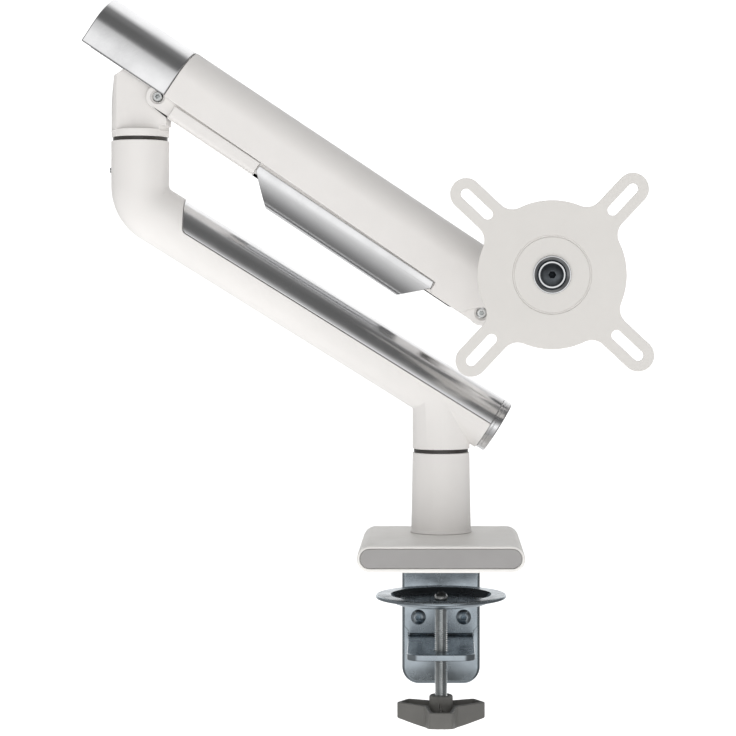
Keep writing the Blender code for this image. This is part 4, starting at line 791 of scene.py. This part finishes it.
def make_yoke():
    low, high = span("head_yoke")
    axis = upright(HEAD_X)
    r, ear_in, ear_out, ear_r, tilt_y, spindle_r = 14.0, 10.3, 14.3, 10.0, TILT.y, 6.0
    yoke = piece("head_yoke", cylinder(r, low.z, high.z, axis), "head_yoke", "white_paint", edge=0.6)
    ear = capsule(tilt_y, HEAD_Z, 0.0, HEAD_Z, ear_r - 0.6, 32)
    for near, far in ((ear_in, ear_out), (-ear_out, -ear_in)):
        join(yoke, prism(ear, near, far, axis @ SIDE))
    across = facing(HEAD_X, tilt_y, HEAD_Z, "+X")
    cut(
        yoke,
        prism(box(-FAR, tilt_y + ear_r + 4.0, -FAR, FAR), -ear_in, ear_in, HEAD @ SIDE),
        cylinder(spindle_r + GAP, 100.0, 200.0, axis, 64),
        cylinder(TILT_R + GAP, -FAR, FAR, across, 48),
    )
    top = facing(HEAD_X, 0.0, high.z + GAP, "+Z")
    reach = high.z + GAP - span("head_spindle")[0].z
    bolt_head("head_spindle", top, "head_yoke", "dark_steel", spindle_r, 9.0, reach, 3.6, dome=0.3)
    under = facing(HEAD_X, 0.0, span("head_spindle_nut")[0].z, "+Z")
    nut("head_spindle_nut", under, "head_yoke", "dark_steel", 17.0, spindle_r + GAP, 5.7)
    out = ear_out + GAP
    left, right = facing(HEAD_X - out, tilt_y, HEAD_Z, "-X"), facing(HEAD_X + out, tilt_y, HEAD_Z, "+X")
    bolt_head("tilt_bolt", left, "head_yoke", "dark_steel", TILT_R, 6.6, 2.0 * out + 5.6, 4.0, dome=0.3)
    nut("tilt_nut", right, "head_yoke", "dark_steel", 12.0, TILT_R + GAP, 5.0)
    washer_r, half = 8.0, 0.35
    for i in (1, 2):
        x = middle(f"tilt_washer_{i}").x - HEAD_X
        ring = turned(box(TILT_R + GAP, washer_r, x - half, x + half), across, 64)
        piece(f"tilt_washer_{i}", ring, "head_yoke", "black_polymer", edge=0.1)


def make_tilt_block():
    across = facing(HEAD_X, TILT.y, HEAD_Z, "+X")
    ahead = facing(HEAD_X, 0.0, HEAD_Z, "-Y")
    start, back = -TILT.y, -span("vesa_plate")[1].y
    neck_r, flange_r, flange, half = 8.6, 21.0, back - 2.6, 9.0
    block = cylinder(10.0, -half, half, across, 96)
    block = piece("tilt_block", block, "tilt_block", "white_paint", edge=0.6)
    flare = [(neck_r, start, 0.0), (neck_r, back - 14.0, 4.0), (flange_r, back - 7.0, 2.0)]
    flare = filleted([*flare, (flange_r, flange, 0.5), (0.0, flange, 0.0)], 8)[1:]
    join(block, turned([(0.0, start + 2.0), (neck_r, start + 2.0), *flare], ahead, 96))
    cut(
        block,
        cylinder(TILT_R + GAP, -FAR, FAR, across, 48),
        cylinder(TILT_R + GAP, start + 13.0, 100.0, ahead, 48),
    )
    washer = turned(box(11.2, 20.0, back - 2.3, back - GAP), ahead, 96)
    piece("rotation_washer", washer, "tilt_block", "black_polymer", edge=0.2)
    head = facing(HEAD_X, span("centre_bolt")[0].y + 3.0, HEAD_Z, "-Y")
    bolt_head("centre_bolt", head, "tilt_block", "dark_steel", TILT_R, 7.1, 30.0, 3.0, dome=0.6, socket_r=2.3)


def vesa_outline():
    """The plate's outline about its centre: a disc with four legs that end round the outer holes."""
    disc_r, leg_half, fillet_r, outer = 44.7, 9.6, 10.0, 100.0 / sqrt(2.0)
    centre = sqrt((disc_r + fillet_r) ** 2 - (leg_half + fillet_r) ** 2)
    lean = degrees(atan2(leg_half + fillet_r, centre))
    points = []
    for angle in VESA_TURNS:
        turn = Matrix.Rotation(angle, 2)
        side = arc(centre, -leg_half - fillet_r, fillet_r, 180.0 - lean, 90.0, 10)
        tip = arc(outer, 0.0, leg_half, -90.0, 90.0, 28)
        other = [(x, -y) for x, y in reversed(side)]
        rim = arc(0.0, 0.0, disc_r, lean, 90.0 - lean, 20)[1:-1]
        points += [tuple(turn @ Vector(point)) for point in side + tip + other + rim]
    return points


def make_vesa_plate():
    low, high = span("vesa_plate")
    front, rear = -low.y, -high.y
    place = HEAD @ FRONT
    plate = prism(vesa_outline(), rear, front, place)
    plate = piece("vesa_plate", plate, "vesa_plate", "vesa_paint", edge=0.3)
    slot = capsule(75.0 / sqrt(2.0), 0.0, 100.0 / sqrt(2.0), 0.0, 3.2, 20)
    past = 5.0
    for angle in VESA_TURNS:
        cut(plate, prism(slot, rear - past, front + past, place @ Matrix.Rotation(angle, 4, "Z")))
    groove = box(22.7, 23.7, front - 0.25, front + past)
    cut(plate, cylinder(11.2, 0.0, 100.0, place), turned(groove, place, 160))
    hole_r, bore, cone, face, seat = TILT_R + RUN, 10.9, 8.0, front + 0.8, front - 1.9
    ring = [(hole_r, rear - 2.0, 0.0), (bore, rear - 2.0, 0.3), (bore, front + GAP, 0.0)]
    ring += [(11.6, front + GAP, 0.1), (11.4, face, 0.2), (10.7, face, 0.2)]
    ring += [(cone, front - 1.2, 0.12), (cone, seat, 0.0), (hole_r, seat, 0.0)]
    piece("vesa_bushing", turned(filleted(ring, 4), place, 128), "vesa_plate", "chrome")


# ---- Finishes ----


class Finish:
    """One procedural material in object coordinates; feature sizes are in millimetres."""

    def __init__(self, name, metallic=0.0, **sockets):
        self.material = bpy.data.materials.new(name)
        self.material.use_nodes = True
        self.tree = self.material.node_tree
        self.shader = self.tree.nodes["Principled BSDF"]
        self.shader.inputs["Metallic"].default_value = metallic
        for socket, value in sockets.items():
            self.shader.inputs[socket.replace("_", " ")].default_value = value
        self.coords = self.node("ShaderNodeTexCoord").outputs["Object"]
        self.colour, self.height = None, None

    def node(self, kind, **inputs):
        made = self.tree.nodes.new(kind)
        for socket, value in inputs.items():
            self.feed(made.inputs[socket.replace("_", " ")], value)
        return made

    def feed(self, socket, value):
        if isinstance(value, bpy.types.NodeSocket):
            self.tree.links.new(value, socket)
        else:
            socket.default_value = value

    def noise(self, size, detail=2.0, stretch=None, turn=(0.0, 0.0, 0.0)):
        """Noise with features of a size; a stretch draws them out along the turned axes."""
        vector = self.coords
        if stretch:
            mapping = self.node("ShaderNodeMapping", Vector=self.coords, Rotation=turn)
            spread = self.node("ShaderNodeVectorMath", Vector=mapping.outputs["Vector"])
            spread.operation = "DIVIDE"
            spread.inputs[1].default_value = stretch
            vector = spread.outputs["Vector"]
        made = self.node("ShaderNodeTexNoise", Vector=vector, Scale=1.0 / (size * MM), Detail=detail)
        return made.outputs["Fac"]

    def ranged(self, value, low, high, start=0.3, end=0.7):
        limits = {"From_Min": start, "From_Max": end, "To_Min": low, "To_Max": high}
        return self.node("ShaderNodeMapRange", Value=value, **limits).outputs["Result"]

    def mix(self, factor, first, second):
        made = self.node("ShaderNodeMix", Factor=factor)
        made.data_type = "RGBA"
        self.feed(made.inputs[6], first)
        self.feed(made.inputs[7], second)
        return made.outputs[2]

    def paint(self, light, dark, factor):
        """Lays a colour that drifts between two shades."""
        self.colour = self.mix(factor, (*light, 1.0), (*dark, 1.0))

    def touch(self, colour, factor):
        """Mixes another colour over the present one."""
        self.colour = self.mix(factor, self.colour, (*colour, 1.0))

    def worn_edges(self, colour, amount, size=6.0):
        """Rubs the outer edges a little, in patches."""
        edge = self.ranged(self.node("ShaderNodeNewGeometry").outputs["Pointiness"], 0.0, amount, 0.52, 0.6)
        patch = self.ranged(self.noise(size, 3.0), 0.0, 1.0, 0.42, 0.6)
        both = self.node("ShaderNodeMath")
        both.operation = "MULTIPLY"
        self.feed(both.inputs[0], edge)
        self.feed(both.inputs[1], patch)
        self.touch(colour, both.outputs["Value"])

    def roughen(self, low, high, value):
        self.feed(self.shader.inputs["Roughness"], self.ranged(value, low, high))

    def emboss(self, value, depth, strength=1.0):
        """Adds a bump of a depth in millimetres over the ones before it."""
        made = self.node("ShaderNodeBump", Height=value, Distance=depth * MM, Strength=strength)
        if self.height:
            self.feed(made.inputs["Normal"], self.height)
        self.height = made.outputs["Normal"]

    def done(self):
        self.feed(self.shader.inputs["Base Color"], self.colour)
        self.feed(self.shader.inputs["Normal"], self.height)
        return self.material


def powder_coat(name, shade, low, high, peel):
    """Satin paint with orange peel, faint drifts of shade and slightly rubbed edges."""
    finish = Finish(name, Specular_IOR_Level=0.45, Coat_Weight=0.12, Coat_Roughness=0.22)
    finish.paint(shade, [0.965 * c for c in shade], finish.ranged(finish.noise(38.0, 3.0), 0.0, 1.0))
    finish.worn_edges([0.9 * c for c in shade], 0.35)
    finish.roughen(low, high, finish.noise(7.0, 3.0))
    finish.emboss(finish.noise(0.9, 2.0), peel)
    finish.emboss(finish.noise(0.18, 1.0), 0.25 * peel)
    return finish.done()


def moulded(name, shade, dark, low, high, grain, depth, rub=0.2):
    """Spark-eroded moulded plastic: a fine even grain with slow changes of gloss."""
    finish = Finish(name, Specular_IOR_Level=0.4)
    finish.paint(shade, dark, finish.ranged(finish.noise(22.0, 4.0), 0.0, 1.0))
    finish.worn_edges([min(1.0, 1.35 * c) for c in shade], rub)
    finish.roughen(low, high, finish.noise(11.0, 3.0))
    finish.emboss(finish.noise(grain, 2.0), depth)
    finish.emboss(finish.noise(4.0 * grain, 2.0), 0.5 * depth)
    return finish.done()


def brushed(name, shade, dark, low, high, turn):
    """Polished and lacquered aluminium with drawing lines along the arm."""
    finish = Finish(name, metallic=1.0, Anisotropic=0.35)
    lines = finish.noise(0.16, 2.0, stretch=(60.0, 1.0, 1.0), turn=turn)
    finish.paint(shade, dark, finish.ranged(lines, 0.0, 1.0))
    finish.touch([0.9 * c for c in shade], finish.ranged(finish.noise(30.0, 3.0), 0.0, 0.5))
    finish.roughen(low, high, finish.noise(14.0, 4.0))
    finish.emboss(lines, 0.0012)
    return finish.done()


def plated(name, shade, dark, low, high, cloud, grain=0.5, depth=0.006):
    """Metal plating: clouds of tint and gloss over a faint rolled texture."""
    finish = Finish(name, metallic=1.0)
    finish.paint(shade, dark, finish.ranged(finish.noise(cloud, 5.0), 0.0, 1.0, 0.35, 0.65))
    finish.worn_edges([min(1.0, 1.25 * c) for c in shade], 0.3)
    finish.roughen(low, high, finish.noise(0.6 * cloud, 4.0))
    finish.emboss(finish.noise(grain, 3.0), depth)
    return finish.done()


def rubber(name):
    finish = Finish(name, Specular_IOR_Level=0.3)
    finish.paint((0.05, 0.05, 0.05), (0.035, 0.035, 0.036), finish.ranged(finish.noise(9.0, 4.0), 0.0, 1.0))
    finish.worn_edges((0.11, 0.11, 0.11), 0.3)
    finish.roughen(0.7, 0.9, finish.noise(3.0, 3.0))
    finish.emboss(finish.noise(0.5, 3.0), 0.04)
    return finish.done()


POLISH = (0.0, LOWER_TILT, 0.0)  # the drawing lines run along the lower arm
MATERIALS = {
    name: make(name, *values)
    for name, make, *values in (
        ("white_paint", powder_coat, (0.83, 0.81, 0.79), 0.38, 0.52, 0.012),
        ("vesa_paint", powder_coat, (0.72, 0.702, 0.675), 0.42, 0.56, 0.016),
        ("base_plastic", moulded, (0.87, 0.858, 0.83), (0.84, 0.828, 0.8), 0.42, 0.56, 0.35, 0.006, 0.1),
        ("grey_insert", moulded, (0.37, 0.362, 0.358), (0.35, 0.342, 0.338), 0.5, 0.62, 0.3, 0.008),
        ("knob_plastic", moulded, (0.165, 0.162, 0.152), (0.14, 0.138, 0.13), 0.42, 0.6, 0.3, 0.012),
        ("black_polymer", moulded, (0.06, 0.055, 0.05), (0.045, 0.042, 0.04), 0.22, 0.38, 0.4, 0.005),
        ("spring_black", moulded, (0.03, 0.03, 0.032), (0.022, 0.022, 0.024), 0.28, 0.42, 0.6, 0.006),
        ("brushed_aluminium", brushed, (0.88, 0.88, 0.885), (0.8, 0.8, 0.81), 0.15, 0.26, POLISH),
        ("zinc_plate", plated, (0.48, 0.54, 0.585), (0.42, 0.475, 0.52), 0.18, 0.3, 16.0),
        ("bright_zinc", plated, (0.84, 0.86, 0.86), (0.72, 0.74, 0.74), 0.14, 0.28, 5.0, 0.3, 0.004),
        ("chrome", plated, (0.76, 0.77, 0.78), (0.7, 0.71, 0.72), 0.06, 0.14, 8.0, 0.8, 0.002),
        ("dark_steel", plated, (0.15, 0.165, 0.18), (0.1, 0.11, 0.12), 0.26, 0.42, 5.0, 0.3, 0.006),
        ("cast_iron", plated, (0.25, 0.25, 0.26), (0.19, 0.19, 0.195), 0.45, 0.65, 7.0, 0.8, 0.05),
        ("pad_rubber", rubber),
    )
}


# ---- Studio ----

AMBIENT = 0.34  # the room's even light on matt surfaces
KNOB_CLEARANCE = 0.03  # the floor is this far below the knob, which comes down as the clamp opens


def make_world():
    """White to the camera; in reflections a soft room with a dark upper front and a grey floor."""
    world = bpy.data.worlds.new("studio")
    bpy.context.scene.world = world
    world.use_nodes = True
    tree = world.node_tree
    tree.nodes.clear()

    def node(kind, operation=None, *values):
        made = tree.nodes.new(kind)
        if operation:
            made.operation = operation
        for i, value in enumerate(values):
            if isinstance(value, bpy.types.NodeSocket):
                tree.links.new(value, made.inputs[i])
            else:
                made.inputs[i].default_value = value
        return made

    axes = node("ShaderNodeSeparateXYZ", None, node("ShaderNodeTexCoord").outputs["Generated"]).outputs
    height = node("ShaderNodeMath", "MULTIPLY_ADD", axes["Z"], 0.5, 0.5).outputs[0]

    def ramp(value, *stops):
        made = node("ShaderNodeValToRGB", None, value)
        points = made.color_ramp.elements
        while len(points) < len(stops):
            points.new(0.5)
        for point, (spot, level) in zip(points, stops):
            point.position = spot
            point.color = (level, level, level, 1.0)
        return made.outputs["Color"]

    def blend(factor, first, second):
        made = tree.nodes.new("ShaderNodeMix")
        made.data_type = "RGBA"
        for socket, value in ((0, factor), (6, first), (7, second)):
            if isinstance(value, bpy.types.NodeSocket):
                tree.links.new(value, made.inputs[socket])
            else:
                made.inputs[socket].default_value = (value, value, value, 1.0)
        return made.outputs[2]

    front = ramp(
        height,
        *((0.0, 0.15), (0.075, 0.25), (0.25, 0.48), (0.375, 0.7), (0.44, 1.15), (0.51, 1.05)),
        *((0.56, 0.62), (0.625, 0.25), (0.68, 0.14), (0.85, 0.13), (1.0, 0.28)),
    )
    back = ramp(height, (0.3, 0.75), (0.55, 1.15))
    room = blend(node("ShaderNodeMapRange", None, axes["Y"], -0.28, 0.12, 0.0, 1.0).outputs[0], front, back)
    room = blend(node("ShaderNodeMapRange", None, axes["X"], 0.35, 0.65, 0.0, 0.9).outputs[0], room, 0.08)
    left = node("ShaderNodeMapRange", None, axes["X"], -0.35, -0.65, 0.0, 0.85).outputs[0]
    light = blend(left, room, 0.14)
    path = node("ShaderNodeLightPath").outputs
    light = blend(path["Is Camera Ray"], blend(path["Is Diffuse Ray"], light, AMBIENT), 1.3)
    node("ShaderNodeOutputWorld", None, node("ShaderNodeBackground", None, light).outputs[0])


def make_floor():
    half = 3.0
    mesh = bpy.data.meshes.new("floor")
    corners = [(x, y, CAD_BOX[0][2] - KNOB_CLEARANCE) for x, y in box(-half, half, -half, half)]
    mesh.from_pydata(corners, [], [(0, 1, 2, 3)])
    floor = bpy.data.objects.new("floor", mesh)
    bpy.context.scene.collection.objects.link(floor)
    glow = {"Emission_Color": (1.0, 1.0, 1.0, 1.0), "Emission_Strength": 0.9}
    finish = Finish("floor_paper", Specular_IOR_Level=0.1, **glow)
    finish.paint((0.92, 0.92, 0.92), (0.9, 0.9, 0.9), finish.ranged(finish.noise(300.0, 2.0), 0.0, 1.0))
    finish.roughen(0.85, 0.95, finish.noise(40.0, 2.0))
    finish.emboss(finish.noise(1.2, 2.0), 0.01)
    mesh.materials.append(finish.done())
    floor.visible_glossy = False


def area_light(name, place, target, size, watts, tint=(1.0, 1.0, 1.0)):
    light = bpy.data.lights.new(name, "AREA")
    light.shape = "SQUARE"
    light.size = size
    light.energy = watts
    light.color = tint
    lamp = bpy.data.objects.new(name, light)
    lamp.location = place
    lamp.rotation_euler = (Vector(target) - Vector(place)).to_track_quat("-Z", "Y").to_euler()
    lamp.visible_glossy = False
    bpy.context.scene.collection.objects.link(lamp)


def make_studio():
    make_world()
    make_floor()
    area_light("front_light", (-0.15, -2.1, 0.75), (0.0, 0.0, 0.1), 1.5, 12.0, (1.0, 0.985, 0.975))
    area_light("top_light", (0.0, 0.2, 1.7), (0.0, 0.0, 0.1), 1.2, 2.0)
    data = bpy.data.cameras.new("camera")
    data.sensor_width = 36.0
    data.lens = 102.7
    data.shift_x, data.shift_y = -0.0992, -0.0883
    camera = bpy.data.objects.new("camera", data)
    camera.location = (0.0, -1.332, 0.1618)
    camera.rotation_euler = (pi / 2.0, 0.0, 0.0)
    bpy.context.scene.collection.objects.link(camera)
    bpy.context.scene.camera = camera
    bpy.context.scene.view_settings.view_transform = "Standard"


def dress_cad_nodes():
    """Gives every CAD node the finish of its slot."""
    for part in frame["record"]["subparts"]:
        node = frame["nodes"][part["node"]]
        node.data.materials.clear()
        node.data.materials.append(MATERIALS[part["material_slot"]])


make_base()
make_bracket()
make_jaw()
make_clamp()
make_post()
make_bushing_rings()
make_lower_arm()
make_knuckle()
make_upper_arm()
make_lower_link()
make_head_block()
make_yoke()
make_tilt_block()
make_vesa_plate()
settle_pieces()
dress_cad_nodes()
make_studio()
